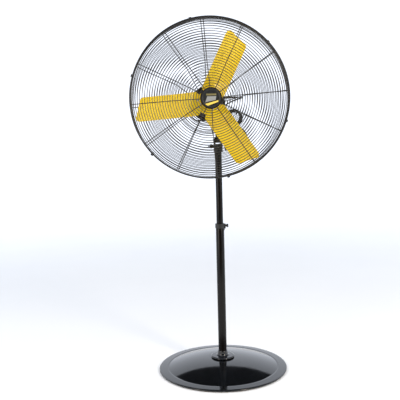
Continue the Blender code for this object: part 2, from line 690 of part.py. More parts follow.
def guard_profile(face_y, hub_radius, crown):
    """(radius, y) stations of one guard from its hub ring to its rim, and for each of them
    whether a ring runs between it and the next one."""
    sign = 1 if face_y > RIM_Y else -1
    rim_inside = RIM_Y + sign * 0.0005
    rim_outside = rim_inside + sign * 0.0060
    reach = CAGE_RADIUS - 0.0020 - SHOULDER_RADIUS
    drop = abs(face_y - rim_outside) * 0.72

    def face(radius):
        return face_y + sign * crown * (1 - (radius / SHOULDER_RADIUS) ** 2)

    radii = [hub_radius, hub_radius + HUB_RING_WIDTH]
    for radius in BAND_RADII:
        radii += [radius - GUARD_STRIP / 2, radius + GUARD_STRIP / 2]
    stations = [(radius, face(radius)) for radius in radii]
    rings = [True, False] * (len(radii) // 2)
    for step, ring in ((0.0, False), (0.45, True), (0.58, False), (1.0, False)):
        angle = step * math.pi / 2
        radius = SHOULDER_RADIUS + reach * math.sin(angle)
        stations.append((radius, face_y - sign * drop * (1 - math.cos(angle))))
        rings.append(ring)
    stations += [(CAGE_RADIUS - 0.0005, rim_outside), (CAGE_RADIUS, rim_inside)]
    rings.append(True)
    return stations, rings


def make_guard(name, face_y, hub_radius, crown, hub_centre, head):
    """A net of ribs and rings, made as a sheet with openings and then thickened. Its hub ring
    has its own centre."""
    stations, rings = guard_profile(face_y, hub_radius, crown)
    bm = bmesh.new()
    rows = []
    for radius, y in stations:
        in_hub = radius <= hub_radius + HUB_RING_WIDTH
        shift_x = hub_centre[0] - CAGE_X if in_hub else 0.0
        shift_z = hub_centre[1] - CAGE_Z if in_hub else 0.0
        half = math.asin(RIB_WIDTH / 2 / radius)
        row = []
        for index in range(RIB_COUNT):
            rib = FIRST_RIB + math.tau * index / RIB_COUNT
            span = math.tau / RIB_COUNT - 2 * half
            for angle in (rib - half, rib + half, rib + half + span / 3, rib + half + 2 * span / 3):
                x = radius * math.cos(angle) + shift_x
                z = radius * math.sin(angle) + shift_z
                row.append(bm.verts.new((x, y, z)))
        rows.append(row)
    count = len(rows[0])
    for inner, outer, ring in zip(rows, rows[1:], rings):
        for column in range(count):
            if not ring and column % 4:
                continue
            after = (column + 1) % count
            bm.faces.new((inner[column], inner[after], outer[after], outer[column]))
    loose = [vert for vert in bm.verts if not vert.link_faces]
    bmesh.ops.delete(bm, geom=loose, context="VERTS")
    guard = add_object(name, bm, "wire_black", (CAGE_X, 0, CAGE_Z), head)
    solid = guard.modifiers.new("thickness", "SOLIDIFY")
    solid.thickness = GUARD_THICKNESS
    solid.offset = 0.0
    return guard


def make_cage(head, screw_cutter):
    rear = make_guard(
        "rear_guard", REAR_FACE_Y, REAR_HUB_RADIUS, 0.0, (HEAD_X, HEAD_Z), head
    )
    combine(rear, screw_cutter, "DIFFERENCE")
    make_guard(
        "front_guard", FRONT_FACE_Y, FRONT_HUB_RADIUS, FRONT_CROWN, (BADGE_X, BADGE_Z), head
    )

    badge_back = FRONT_FACE_Y - FRONT_CROWN - GUARD_THICKNESS / 2 - GAP
    profile = [(0, badge_back), (BADGE_RADIUS, badge_back), (BADGE_RADIUS, badge_back - 0.0030)]
    profile += [(BADGE_RADIUS - 0.0030, badge_back - 0.0050), (0.0440, badge_back - 0.0050)]
    profile += [(0.0430, badge_back - 0.0042), (0, badge_back - 0.0042)]
    badge = turned(profile, "Y", 32, ring=False)
    add_object("badge_plate", badge, "badge_black", (BADGE_X, 0, BADGE_Z), head)

    # Each clip is a channel over both rims, with a lug that stands out on its outer side.
    inside = CAGE_RADIUS + GUARD_THICKNESS / 2 + GAP
    outline = [(inside, -0.0080), (inside, 0.0080), (inside - 0.0090, 0.0080)]
    outline += [(inside - 0.0090, 0.0095), (inside + 0.0015, 0.0095), (inside + 0.0015, 0.0030)]
    outline += [(inside + 0.0065, 0.0020), (inside + 0.0065, -0.0020), (inside + 0.0015, -0.0030)]
    outline += [(inside + 0.0015, -0.0095), (inside - 0.0090, -0.0095), (inside - 0.0090, -0.0080)]
    for number, (angle, _, _) in enumerate(around(CLIP_COUNT, 1.0, FIRST_CLIP), 1):
        bm = bmesh.new()
        verts = [bm.verts.new((radius, y, -0.0070)) for radius, y in outline]
        face = bm.faces.new(verts)
        grown = bmesh.ops.extrude_face_region(bm, geom=[face])
        moved = [item for item in grown["geom"] if isinstance(item, bmesh.types.BMVert)]
        bmesh.ops.translate(bm, vec=(0, 0, 0.0140), verts=moved)
        bmesh.ops.translate(bm, vec=(0, RIM_Y, 0), verts=bm.verts)
        bm.transform(Matrix.Rotation(-angle, 4, "Y"))
        add_object(f"guard_clip_{number}", bm, "wire_black", (CAGE_X, 0, CAGE_Z), head)


# ---------------------------------------------------------------- fan


def blade_point(along, across):
    """A point of the blade's middle surface. along runs from 0 at the root to 1 at the tip,
    across from -1 at the leading edge to 1 at the trailing edge."""
    span = BLADE_ROOT + (BLADE_TIP - BLADE_ROOT) * along
    root = min(1.0, along / 0.09)
    half = BLADE_HALF_WIDTH * (0.52 + 0.48 * math.sin(root * math.pi / 2))
    twist_in = min(1.0, max(0.0, (along - 0.09) / 0.19))
    twist_in = twist_in * twist_in * (3 - 2 * twist_in)
    pitch = (ROOT_PITCH + (TIP_PITCH - ROOT_PITCH) * along) * twist_in
    camber = CAMBER * twist_in * (1 - across * across)
    height = half * across * math.tan(pitch) - camber
    reach = span + TIP_SLANT * across * along**2
    return reach, half * across, height


def make_blade(number, angle, fan):
    """One blade, cambered and twisted, thickened from a sheet."""
    stations = [0.0, 0.04, 0.09, 0.16, 0.28, 0.42, 0.58, 0.74, 0.88, 0.965, 1.0]
    columns = [-1.0, -0.80, -0.40, 0.0, 0.40, 0.80, 1.0]
    middle = FAN_Y - SPIDER_THICKNESS - GAP - BLADE_THICKNESS / 2
    bm = bmesh.new()
    rows = []
    for along in stations:
        row = []
        for across in columns:
            corner = along == 1.0 and abs(across) == 1.0
            x, y, z = blade_point(along, across * (0.93 if corner else 1.0))
            x -= 0.004 if corner else 0.0
            row.append(bm.verts.new((x, y, z)))
        rows.append(row)
    for low, high in zip(rows, rows[1:]):
        for column in range(len(columns) - 1):
            bm.faces.new((low[column], low[column + 1], high[column + 1], high[column]))
    # Blade axes: x outwards, y round the circle, z along the shaft.
    bm.transform(Matrix.Rotation(math.radians(90), 4, "X") @ Matrix.Rotation(angle, 4, "Z"))
    place = (HEAD_X, middle, HEAD_Z)
    blade = add_object(f"blade_{number}", bm, "blade_yellow", place, fan)
    solid = blade.modifiers.new("thickness", "SOLIDIFY")
    solid.thickness = BLADE_THICKNESS
    solid.offset = 0.0


def make_fan(fan):
    centre = (HEAD_X, 0, HEAD_Z)
    shaft = [(0, -0.1650), (0.0055, -0.1650), (SHAFT_RADIUS, -0.1640), (SHAFT_RADIUS, 0.0785)]
    shaft.append((0, 0.0785))
    add_object("motor_shaft", turned(shaft, "Y", 20, ring=False), "steel", centre, fan)

    bore = SHAFT_RADIUS + GAP
    rotor = [(bore, -0.0220), (0.0420, -0.0220), (0.0420, 0.0220), (bore, 0.0220)]
    add_object("rotor", turned(rotor, "Y", 24), "steel", centre, fan)

    back = FAN_Y + GAP
    hub = [(bore, back), (0.0260, back), (0.0260, back + 0.0040), (0.0175, back + 0.0060)]
    hub += [(0.0165, back + 0.0340), (0.0155, back + 0.0350), (bore, back + 0.0350)]
    boss = add_object("fan_hub", turned(hub, "Y", 24), "iron_grey", centre, fan)
    screw_y = back + 0.0220
    hole = rod(0.0029, 0.0040, 0.0260, "Z", 12, (0, screw_y))
    combine(boss, helper("cutter_hub_screw", hole, fan, centre), "DIFFERENCE")
    screw = rod(0.0026, SHAFT_RADIUS + 0.0004, 0.0190, "Z", 6, (0, screw_y))
    add_object("hub_screw", screw, "steel", centre, fan)

    front = FAN_Y - SPIDER_THICKNESS
    spider = [(bore, FAN_Y), (SPIDER_RADIUS, FAN_Y), (SPIDER_RADIUS, front), (bore, front)]
    add_object("fan_spider", turned(spider, "Y", 36), "blade_yellow", centre, fan)

    cap = [(0.0070, front - GAP), (0.0190, front - GAP), (0.0180, front - 0.0040)]
    cap += [(0.0120, front - 0.0075), (0.0070, front - 0.0080)]
    add_object("hub_cap", turned(cap, "Y", 24), "zinc", centre, fan)

    for number, (angle, _, _) in enumerate(around(BLADE_COUNT, 1.0, FIRST_BLADE), 1):
        make_blade(number, angle, fan)


# ---------------------------------------------------------------- cord


def make_cord(head):
    """The gland on the motor, the cord along its way behind the head, its coil and plug."""
    gland = [(0, 0.0145), (0.0085, 0.0145), (0.0085, 0.0430), (0.0066, 0.0440)]
    ribs = 5
    length = BOOT_END - 0.0450
    for rib in range(ribs):
        start = 0.0450 + length * rib / ribs
        radius = 0.0062 - 0.0012 * rib / ribs
        gland += [(radius, start), (radius, start + length * 0.6 / ribs)]
        gland += [(radius - 0.0010, start + length * 0.65 / ribs)]
        gland += [(radius - 0.0010, start + length * 0.95 / ribs)]
    gland += [(0.0045, BOOT_END), (0, BOOT_END)]
    relief = turned(gland, "X", 16, ring=False)
    boot = add_object("strain_relief", relief, "rubber_black", (0, GLAND_Y, GLAND_Z), head)
    # The gland's foot is hollowed to sit on the motor's drum.
    drum = rod(MOTOR_RADIUS + GAP, 0.000, 0.060, "Y", MOTOR_STEPS, (HEAD_X, HEAD_Z))
    combine(boot, helper("cutter_gland_foot", drum, head), "DIFFERENCE")

    cord_tube("power_cord_feed", FEED_ROUTE, head)
    cord_tube("power_cord_tail", TAIL_ROUTE, head)

    section = [
        (COIL_RADIUS + COIL_HALF_WIDTH * x, COIL_HALF_DEPTH * y)
        for _, x, y in around(12, 1.0)
    ]
    ring = turned(section, "Y", 32)
    add_object("cord_coil", ring, "rubber_black", COIL_CENTRE, head)

    # The tie holds the top of the coil to the rib of the rear guard that passes there.
    rib = FIRST_RIB - math.tau / RIB_COUNT
    outwards = Vector((math.cos(rib), 0, math.sin(rib)))
    upwards = Vector((-math.sin(rib), 0, math.cos(rib)))
    half = COIL_HALF_WIDTH + 0.0006
    # The rib leans towards the hub ring's own centre, so the strap is slack below the coil.
    below = half + 0.0062
    strap = 0.0012
    low_y = REAR_FACE_Y - GUARD_THICKNESS / 2 - 0.0006
    high_y = COIL_CENTRE.y + COIL_HALF_DEPTH + 0.0006
    bm = bmesh.new()
    loops = []
    for grow in (0.0, strap):
        for side in (-0.0022, 0.0022):
            corners = (
                (-below - grow, low_y - grow), (half + grow, low_y - grow),
                (half + grow, high_y + grow), (-below - grow, high_y + grow),
            )
            loops.append(
                [bm.verts.new(up * upwards + outwards * side + Vector((0, y, 0)))
                 for up, y in corners]
            )
    for first, second in ((0, 1), (1, 3), (3, 2), (2, 0)):
        for corner in range(4):
            after = (corner + 1) % 4
            bm.faces.new(
                (loops[first][corner], loops[first][after],
                 loops[second][after], loops[second][corner])
            )
    top = COIL_CENTRE + COIL_RADIUS * upwards
    add_object("cord_tie", bm, "plastic_black", (top.x, 0, top.z), head)

    body = [(0, 0), (0.0050, 0), (0.0058, -0.0120), (0.0110, -0.0180), (0.0130, -0.0240)]
    body += [(0.0130, -0.0440), (0.0118, -0.0455), (0, -0.0455)]
    plug = turned(body, "Z", 20, ring=False)
    whole = add_object("plug", plug, "rubber_black", (PLUG_X, PLUG_Y, PLUG_TOP), head)
    for name, side in (("left", -1), ("right", 1)):
        blade = block((0.0015, 0.0063, 0.0180), (side * 0.00635, 0.0015, -0.0535))
        prong = helper(f"helper_{name}_prong", blade, head, (PLUG_X, PLUG_Y, PLUG_TOP))
        combine(whole, prong, "UNION")
    ground = rod(0.0024, -0.0640, -0.0440, "Z", 10, (0, -0.0070))
    pin = helper("helper_ground_pin", ground, head, (PLUG_X, PLUG_Y, PLUG_TOP))
    combine(whole, pin, "UNION")


def main():
    clear_scene()
    make_base()
    make_lower_pole()
    make_height_knob()
    mast = add_empty("axis_height_slide", (0, 0, COLLAR_TOP))
    make_upper_pole(mast)
    neck = add_empty("axis_swivel", (0, 0, SLEEVE_BOTTOM), mast)
    make_neck(neck)
    make_tilt_lever(neck)
    head = add_empty("axis_tilt", (0, 0, PIVOT_Z), neck)
    make_tilt_arm(head)
    screw_cutter = make_motor(head)
    make_switch(head)
    make_cage(head, screw_cutter)
    make_cord(head)
    fan = add_empty("axis_fan", (HEAD_X, FAN_Y, HEAD_Z), head)
    make_fan(fan)


main()
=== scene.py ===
"""Finish, lights and camera for the pedestal fan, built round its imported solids.

The frame holds the solids: metres, +Z up, origin on the floor on the pole's axis, and the fan
blows towards -Y. Each operator makes one group of pieces, and main() calls them in turn.
"""

import json
import math

import bmesh
import bpy
import numpy as np
from bpy.props import FloatProperty, IntProperty, PointerProperty, StringProperty
from mathutils import Matrix, Vector


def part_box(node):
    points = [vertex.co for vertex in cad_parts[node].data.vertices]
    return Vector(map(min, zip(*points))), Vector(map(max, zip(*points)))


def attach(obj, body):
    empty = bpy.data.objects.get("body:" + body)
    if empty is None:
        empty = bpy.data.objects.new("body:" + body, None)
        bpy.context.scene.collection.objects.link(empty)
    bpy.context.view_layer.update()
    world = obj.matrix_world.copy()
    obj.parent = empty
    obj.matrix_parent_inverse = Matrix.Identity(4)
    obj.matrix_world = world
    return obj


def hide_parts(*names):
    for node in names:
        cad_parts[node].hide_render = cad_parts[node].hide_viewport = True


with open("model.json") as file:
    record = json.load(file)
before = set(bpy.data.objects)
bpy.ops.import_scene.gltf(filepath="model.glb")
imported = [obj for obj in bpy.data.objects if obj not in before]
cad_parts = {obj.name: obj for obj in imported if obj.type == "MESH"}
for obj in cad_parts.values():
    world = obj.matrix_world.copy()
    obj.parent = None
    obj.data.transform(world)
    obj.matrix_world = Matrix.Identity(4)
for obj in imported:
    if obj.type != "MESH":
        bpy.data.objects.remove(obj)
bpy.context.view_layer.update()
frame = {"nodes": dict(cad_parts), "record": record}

bl_info = {
    "name": "Pedestal fan",
    "blender": (4, 5, 0),
    "version": (1, 0, 0),
    "location": "3D View > Sidebar > Fan",
    "description": "Builds the finish of an industrial pedestal fan on its solids",
    "category": "Object",
}

AXIS_TURN = {
    "Z": Matrix.Identity(4),
    "Y": Matrix.Rotation(math.radians(-90), 4, "X"),
    "X": Matrix.Rotation(math.radians(90), 4, "Y"),
}

# Material slot of the record -> the material here that finishes its solids.
SLOT_FINISH = {
    "base_black": "gloss_powder_coat",
    "tube_black": "tube_enamel",
    "cast_black": "cast_paint",
    "wire_black": "wire_coating",
    "motor_black": "motor_paint",
    "blade_yellow": "blade_enamel",
    "badge_black": "badge_vinyl",
    "rubber_black": "rubber",
    "plastic_black": "moulded_plastic",
    "nylon_white": "nylon",
    "zinc": "zinc_plate",
    "steel": "ground_steel",
    "iron_grey": "cast_iron",
    "copper": "copper_windings",
}


# ---------------------------------------------------------------- settings


class FanSizes(bpy.types.PropertyGroup):
    ring_pitch: FloatProperty(
        name="Ring pitch", description="Distance between guard rings", default=0.0125, unit="LENGTH"
    )
    ring_wire: FloatProperty(
        name="Ring wire", description="Radius of a guard ring's wire", default=0.0016, unit="LENGTH"
    )
    rib_wire: FloatProperty(
        name="Rib wire", description="Radius of a guard rib's wire", default=0.0021, unit="LENGTH"
    )
    rim_wire: FloatProperty(
        name="Rim wire", description="Radius of the wire round each rim", default=0.0038,
        unit="LENGTH",
    )
    rib_count: IntProperty(name="Ribs", description="Ribs in each guard", default=12, min=3)
    first_rib: FloatProperty(
        name="First rib", description="Angle of the first rib from +X, anticlockwise",
        default=math.radians(3.6), subtype="ANGLE",
    )
    rear_turn: FloatProperty(
        name="Rear turn", description="How far the rear guard is turned from the front one",
        default=math.radians(1.4), subtype="ANGLE",
    )
    first_blade: FloatProperty(
        name="First blade", description="Angle of the first blade from +X, anticlockwise",
        default=math.radians(64.3), subtype="ANGLE",
    )
    blade_half_width: FloatProperty(
        name="Blade half width", description="Half of a blade's width seen from the front",
        default=0.0608, unit="LENGTH",
    )
    cord_radius: FloatProperty(
        name="Cord radius", description="Radius of the supply cord", default=0.0035, unit="LENGTH"
    )
    coil_radius: FloatProperty(
        name="Coil radius", description="Radius of the coil at the middle of its turns",
        default=0.0360, unit="LENGTH",
    )
    coil_turns: IntProperty(name="Coil turns", description="Turns in the coil", default=4, min=1)


class FanColours(bpy.types.PropertyGroup):
    base: StringProperty(name="Base", description="Powder coat of the base", default="#0B0D10")
    tube: StringProperty(name="Tube", description="Enamel of the pole", default="#0E0B09")
    cast: StringProperty(name="Castings", description="Paint of the cast pieces", default="#151614")
    wire: StringProperty(name="Wire", description="Coating of the guards", default="#1E1B16")
    motor: StringProperty(name="Motor", description="Paint of the motor", default="#181513")
    blade: StringProperty(name="Blades", description="Enamel of the blades", default="#FFD61A")
    badge: StringProperty(name="Badge", description="Ground of the badge", default="#1B1D1D")
    # The badge's three ink colours are its print colours darkened with painted shade.
    badge_grey: StringProperty(name="Badge grey", description="Block on it", default="#8B8D8C")
    badge_bar: StringProperty(name="Badge bar", description="Upper bar on it", default="#756C44")
    badge_slash: StringProperty(name="Badge slash", description="Lower bar", default="#E9CB58")
    floor: StringProperty(name="Floor", description="Studio floor", default="#FBFBFA")


def sizes():
    return bpy.context.scene.fan_sizes


def colours():
    return bpy.context.scene.fan_colours


def linear(hex_colour):
    """sRGB hex to the linear colour that a socket takes."""
    channels = [int(hex_colour[i : i + 2], 16) / 255 for i in (1, 3, 5)]
    return (*[c / 12.92 if c <= 0.04045 else ((c + 0.055) / 1.055) ** 2.4 for c in channels], 1.0)


def centre_of(node):
    low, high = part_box(node)
    return (Vector(low) + Vector(high)) / 2


# ---------------------------------------------------------------- materials


def add_node(tree, kind, inputs=None, **settings):
    """Adds a node, sets its properties, and fills or links its inputs."""
    node = tree.nodes.new(kind)
    for name, value in settings.items():
        setattr(node, name, value)
    for name, value in (inputs or {}).items():
        if isinstance(value, bpy.types.NodeSocket):
            tree.links.new(value, node.inputs[name])
        else:
            node.inputs[name].default_value = value
    return node


def noise(tree, size, detail=3.0, stretch=(1, 1, 1)):
    """Noise whose features are about size metres across, in the object's own space."""
    place = add_node(tree, "ShaderNodeTexCoord").outputs["Object"]
    if stretch != (1, 1, 1):
        place = add_node(
            tree, "ShaderNodeMapping", {"Vector": place, "Scale": stretch}
        ).outputs["Vector"]
    made = add_node(
        tree, "ShaderNodeTexNoise", {"Vector": place, "Scale": 1 / size, "Detail": detail}
    )
    return made.outputs["Fac"]


def spread(tree, value, low, high):
    """Maps noise, which keeps near its middle, onto a range of values."""
    made = add_node(
        tree, "ShaderNodeMapRange",
        {"Value": value, "From Min": 0.3, "From Max": 0.7, "To Min": low, "To Max": high},
    )
    return made.outputs["Result"]


def mixed(tree, factor, first, second):
    """A colour between two, by a factor."""
    made = add_node(tree, "ShaderNodeMix", data_type="RGBA")
    for socket, value in ((0, factor), (6, first), (7, second)):
        if isinstance(value, bpy.types.NodeSocket):
            tree.links.new(value, made.inputs[socket])
        else:
            made.inputs[socket].default_value = value
    return made.outputs[2]


def bumped(tree, height, depth, rounding=0.0):
    """A normal with relief depth metres deep, and edges rounded off by a radius."""
    inputs = {"Height": height, "Strength": 1.0, "Distance": depth}
    if rounding:
        edge = add_node(tree, "ShaderNodeBevel", {"Radius": rounding}, samples=4)
        inputs["Normal"] = edge.outputs["Normal"]
    return add_node(tree, "ShaderNodeBump", inputs).outputs["Normal"]


def new_material(name, colour, roughness, metallic=0.0, normal=None, **extra):
    """A Principled material made by tree-building callbacks, so that each reads as one recipe."""
    made = bpy.data.materials.new(name)
    made.use_nodes = True
    tree = made.node_tree
    shader = tree.nodes["Principled BSDF"]
    values = {"Base Color": colour, "Roughness": roughness, "Metallic": metallic, "Normal": normal}
    values.update({key.replace("_", " ").title(): value for key, value in extra.items()})
    for socket, value in values.items():
        if callable(value):
            value = value(tree)
        if value is None:
            continue
        target = shader.inputs[socket.replace("Ior", "IOR")]
        if isinstance(value, bpy.types.NodeSocket):
            tree.links.new(value, target)
        else:
            target.default_value = value
    return made


def tinted(hex_colour, size, darker=0.75, lighter=1.25):
    """A colour that drifts a little over patches of the given size."""
    base = linear(hex_colour)

    def build(tree):
        low = tuple(channel * darker for channel in base[:3]) + (1.0,)
        high = tuple(min(1.0, channel * lighter) for channel in base[:3]) + (1.0,)
        return mixed(tree, spread(tree, noise(tree, size), 0.0, 1.0), low, high)

    return build


def varied(size, low, high, stretch=(1, 1, 1)):
    """A number, such as roughness, that varies over patches of the given size."""
    return lambda tree: spread(tree, noise(tree, size, stretch=stretch), low, high)


def relief(size, depth, rounding=0.0, detail=2.0, stretch=(1, 1, 1)):
    """Small relief of the given feature size and depth."""
    return lambda tree: bumped(tree, noise(tree, size, detail, stretch), depth, rounding)


def make_materials():
    tone = colours()
    # Powder coat: deep gloss with a fine orange peel that breaks up long reflections.
    new_material(
        "gloss_powder_coat", tinted(tone.base, 0.06), varied(0.03, 0.07, 0.13), 0.0,
        relief(0.0022, 0.000010), coat_weight=0.15, coat_roughness=0.04,
    )
    # Tube enamel: gloss with faint streaks along the tube, from drawing and wiping.
    new_material(
        "tube_enamel", tinted(tone.tube, 0.05), varied(0.010, 0.16, 0.26, (1, 1, 0.05)), 0.0,
        relief(0.0018, 0.000008), specular_ior_level=0.22,
    )
    # Cast paint: satin over the grain of a casting, with softened edges.
    new_material(
        "cast_paint", tinted(tone.cast, 0.012), varied(0.008, 0.34, 0.52), 0.0,
        relief(0.0012, 0.00006, 0.0008, 4.0),
    )
    # Wire coating: thin satin layer that pools a little and shows the wire's curve.
    new_material(
        "wire_coating", tinted(tone.wire, 0.02, 0.7, 1.3), varied(0.015, 0.28, 0.42), 0.0,
        relief(0.0010, 0.00001),
    )
    # Motor paint: satin sprayed paint with a slight texture.
    new_material(
        "motor_paint", tinted(tone.motor, 0.03), varied(0.012, 0.36, 0.50), 0.0,
        relief(0.0009, 0.00002, 0.0006, 3.0),
    )
    # Blade enamel: warm yellow with gentle drift in tone and a soft gloss.
    new_material(
        "blade_enamel", tinted(tone.blade, 0.09, 0.94, 1.05), varied(0.02, 0.28, 0.40), 0.0,
        relief(0.0030, 0.00002), coat_weight=0.25, coat_roughness=0.15,
    )
    # Badge: dark satin vinyl and flat inks, the inks' colours darkened with painted shade.
    new_material(
        "badge_vinyl", tinted(tone.badge, 0.010), varied(0.004, 0.30, 0.40), 0.0,
        relief(0.0006, 0.00001),
    )
    for name, shaded_ink in (
        ("badge_grey_ink", tone.badge_grey),
        ("badge_bar_ink", tone.badge_bar),
        ("badge_slash_ink", tone.badge_slash),
    ):
        new_material(name, tinted(shaded_ink, 0.006, 0.9, 1.08), varied(0.003, 0.38, 0.5), 0.0, None)
    # Rubber: matt black with a moulded grain.
    new_material(
        "rubber", tinted("#101010", 0.008), varied(0.005, 0.55, 0.75), 0.0,
        relief(0.0007, 0.00004, detail=4.0),
    )
    # Cord sheath: soft PVC, a little shinier than rubber, with a faint lengthwise waviness.
    new_material(
        "cord_sheath", tinted("#111112", 0.010), varied(0.006, 0.38, 0.52), 0.0,
        relief(0.0012, 0.00003),
    )
    # Moulded plastic: spark-eroded grain and rounded edges.
    new_material(
        "moulded_plastic", tinted("#121213", 0.010), varied(0.004, 0.40, 0.55), 0.0,
        relief(0.0005, 0.00003, 0.0005, 4.0),
    )
    # Nylon: off-white and slightly waxy.
    new_material(
        "nylon", tinted("#D9D5C8", 0.010, 0.95, 1.03), varied(0.006, 0.38, 0.5), 0.0,
        relief(0.0008, 0.00001), subsurface_weight=0.1,
    )
    # Zinc plate: bright, with a fine spangle and small changes in sheen.
    new_material(
        "zinc_plate", tinted("#BFC0C2", 0.003, 0.85, 1.1), varied(0.002, 0.22, 0.38), 1.0,
        relief(0.0006, 0.00001, 0.0004),
    )
    # Ground steel: fine scratches round the shaft.
    new_material(
        "ground_steel", tinted("#A6A7A9", 0.004, 0.9, 1.06),
        varied(0.0015, 0.18, 0.34, (1, 12, 1)), 1.0, relief(0.0004, 0.000006, 0.0004),
    )
    # Cast iron: dull grey with coarse sand-cast grain.
    new_material(
        "cast_iron", tinted("#55534F", 0.006, 0.8, 1.15), varied(0.004, 0.55, 0.75), 0.6,
        relief(0.0012, 0.0001, 0.0006, 5.0),
    )
    # Copper windings: enamelled wire laid side by side.
    new_material(
        "copper_windings", tinted("#B8703A", 0.003, 0.75, 1.15), varied(0.002, 0.25, 0.4), 1.0,
        relief(0.0010, 0.0002, detail=1.0, stretch=(1, 6, 1)),
    )


# ---------------------------------------------------------------- mesh helpers


def turned(profile, axis="Z", centre=(0, 0, 0), steps=96, ring=True):
    """A bmesh turned from (radius, height) points. A ring's outline closes on itself."""
    bm = bmesh.new()
    verts = [bm.verts.new((radius, 0, height)) for radius, height in profile]
    edges = [bm.edges.new(pair) for pair in zip(verts, verts[1:])]
    if ring:
        edges.append(bm.edges.new((verts[-1], verts[0])))
    bmesh.ops.spin(
        bm, geom=verts + edges, cent=(0, 0, 0), axis=(0, 0, 1), angle=math.tau, steps=steps,
        use_merge=True,
    )
    bmesh.ops.remove_doubles(bm, verts=bm.verts, dist=1e-7)
    bm.transform(Matrix.Translation(centre) @ AXIS_TURN[axis])
    return bm


def rounded(points, radius, steps=4):
    """The outline with each corner replaced by a small arc, and its ends kept."""
    result = [Vector(points[0])]
    for before, corner, after in zip(points, points[1:], points[2:]):
        corner = Vector(corner)
        to_before = Vector(before) - corner
        to_after = Vector(after) - corner
        reach = min(radius, to_before.length * 0.45, to_after.length * 0.45)
        start = corner + to_before.normalized() * reach
        end = corner + to_after.normalized() * reach
        for step in range(steps + 1):
            t = step / steps
            result.append(start.lerp(corner, t).lerp(corner.lerp(end, t), t))
    result.append(Vector(points[-1]))
    return [tuple(point) for point in result]


def merge_into(whole, part):
    """Moves one bmesh's geometry into another."""
    mesh = bpy.data.meshes.new("joined")
    part.to_mesh(mesh)
    part.free()
    whole.from_mesh(mesh)
    bpy.data.meshes.remove(mesh)


def add_piece(name, bm, finish, body, replaced=(), sharp=38):
    """A finished piece from a bmesh in the frame's coordinates."""
    bmesh.ops.recalc_face_normals(bm, faces=bm.faces)
    mesh = bpy.data.meshes.new(name)
    bm.to_mesh(mesh)
    bm.free()
    mesh.shade_smooth()
    mesh.set_sharp_from_angle(angle=math.radians(sharp))
    for material_name in [finish] if isinstance(finish, str) else finish:
        mesh.materials.append(bpy.data.materials[material_name])
    piece = bpy.data.objects.new(name, mesh)
    bpy.context.scene.collection.objects.link(piece)
    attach(piece, body)
    if replaced:
        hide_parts(*replaced)
    return piece


def tube_along(points, radius, side, sides=8):
    """A round wire drawn along points that lie in a plane. side is that plane's normal."""
    bm = bmesh.new()
    heading = (points[1] - points[0]).normalized()
    bmesh.ops.create_circle(bm, cap_ends=True, segments=sides, radius=radius)
    frame_turn = Matrix((side, heading.cross(side), heading)).transposed().to_4x4()
    bm.transform(Matrix.Translation(points[0]) @ frame_turn)
    bm.faces.ensure_lookup_table()
    face = bm.faces[0]
    for index in range(1, len(points)):
        here = points[index]
        ahead = points[min(index + 1, len(points) - 1)]
        wanted = (ahead - points[index - 1]).normalized()
        grown = bmesh.ops.extrude_discrete_faces(bm, faces=[face])
        face = grown["faces"][0]
        bmesh.ops.translate(bm, vec=here - points[index - 1], verts=face.verts)
        turn = heading.rotation_difference(wanted).to_matrix()
        bmesh.ops.rotate(bm, cent=here, matrix=turn, verts=face.verts)
        heading = wanted
    bmesh.ops.holes_fill(bm, edges=bm.edges, sides=sides)
    bmesh.ops.recalc_face_normals(bm, faces=bm.faces)
    return bm


def prism(outline, low, high):
    """A plate between two Y planes with a (x, z) outline."""
    bm = bmesh.new()
    face = bm.faces.new([bm.verts.new((x, low, z)) for x, z in outline])
    grown = bmesh.ops.extrude_face_region(bm, geom=[face])
    moved = [item for item in grown["geom"] if isinstance(item, bmesh.types.BMVert)]
    bmesh.ops.translate(bm, vec=(0, high - low, 0), verts=moved)
    return bm


def dome_head(centre, axis, radius, height, steps=20):
    """A domed rivet or screw head standing on its axis."""
    profile = [(0.0, 0.0), (radius, 0.0)]
    for step in range(1, 6):
        angle = math.radians(90) * step / 6
        profile.append((radius * math.cos(angle), height * math.sin(angle)))
    profile.append((0.0, height))
    return turned(profile, axis, centre, steps, ring=False)


# ---------------------------------------------------------------- cord


FEED_ROUTE = (
    (0.0996, 0.0300, 1.4775), (0.1075, 0.0302, 1.4775), (0.1185, 0.0335, 1.4777),
    (0.1305, 0.0440, 1.4772), (0.1365, 0.0600, 1.4762), (0.1335, 0.0780, 1.4748),
    (0.1225, 0.0950, 1.4725), (0.1030, 0.1065, 1.4670), (0.0780, 0.1120, 1.4565),
    (0.0540, 0.1140, 1.4440), (0.0350, 0.1145, 1.4330), (0.0020, 0.1110, 1.4295),
    (-0.0140, 0.1080, 1.4338), (-0.0320, 0.1055, 1.4342), (-0.0760, 0.1030, 1.4342),
    (-0.0960, 0.1010, 1.4325), (-0.1150, 0.0980, 1.4230), (-0.1320, 0.0870, 1.4065),
    (-0.1370, 0.0710, 1.3880), (-0.1300, 0.0570, 1.3715), (-0.1150, 0.0485, 1.3615),
    (-0.0980, 0.0450, 1.3578), (-0.0810, 0.0440, 1.3582), (-0.0640, 0.0440, 1.3590),
    (-0.0270, 0.0440, 1.3580), (-0.0080, 0.0440, 1.3555), (0.0090, 0.0432, 1.3525),
    (0.0230, 0.0385, 1.3495), (0.0325, 0.0285, 1.3465), (0.0365, 0.0150, 1.3440),
    (0.0375, -0.0010, 1.3415), (0.0385, -0.0200, 1.3385), (0.0400, -0.0380, 1.3360),
)
TAIL_ROUTE = (
    (0.1030, -0.0370, 1.3260), (0.1190, -0.0400, 1.3140), (0.1365, -0.0430, 1.2975),
    (0.1495, -0.0430, 1.2720), (0.1545, -0.0410, 1.2480), (0.1545, -0.0400, 1.2400),
    (0.1545, -0.0400, 1.2324),
)
# The direction from the coil's centre to its tie, and how far each turn swings about the tie.
TIE_ANGLE = math.radians(63.6)
TURN_SWING = tuple(math.radians(a) for a in (-13.0, -4.5, 4.5, 13.0))
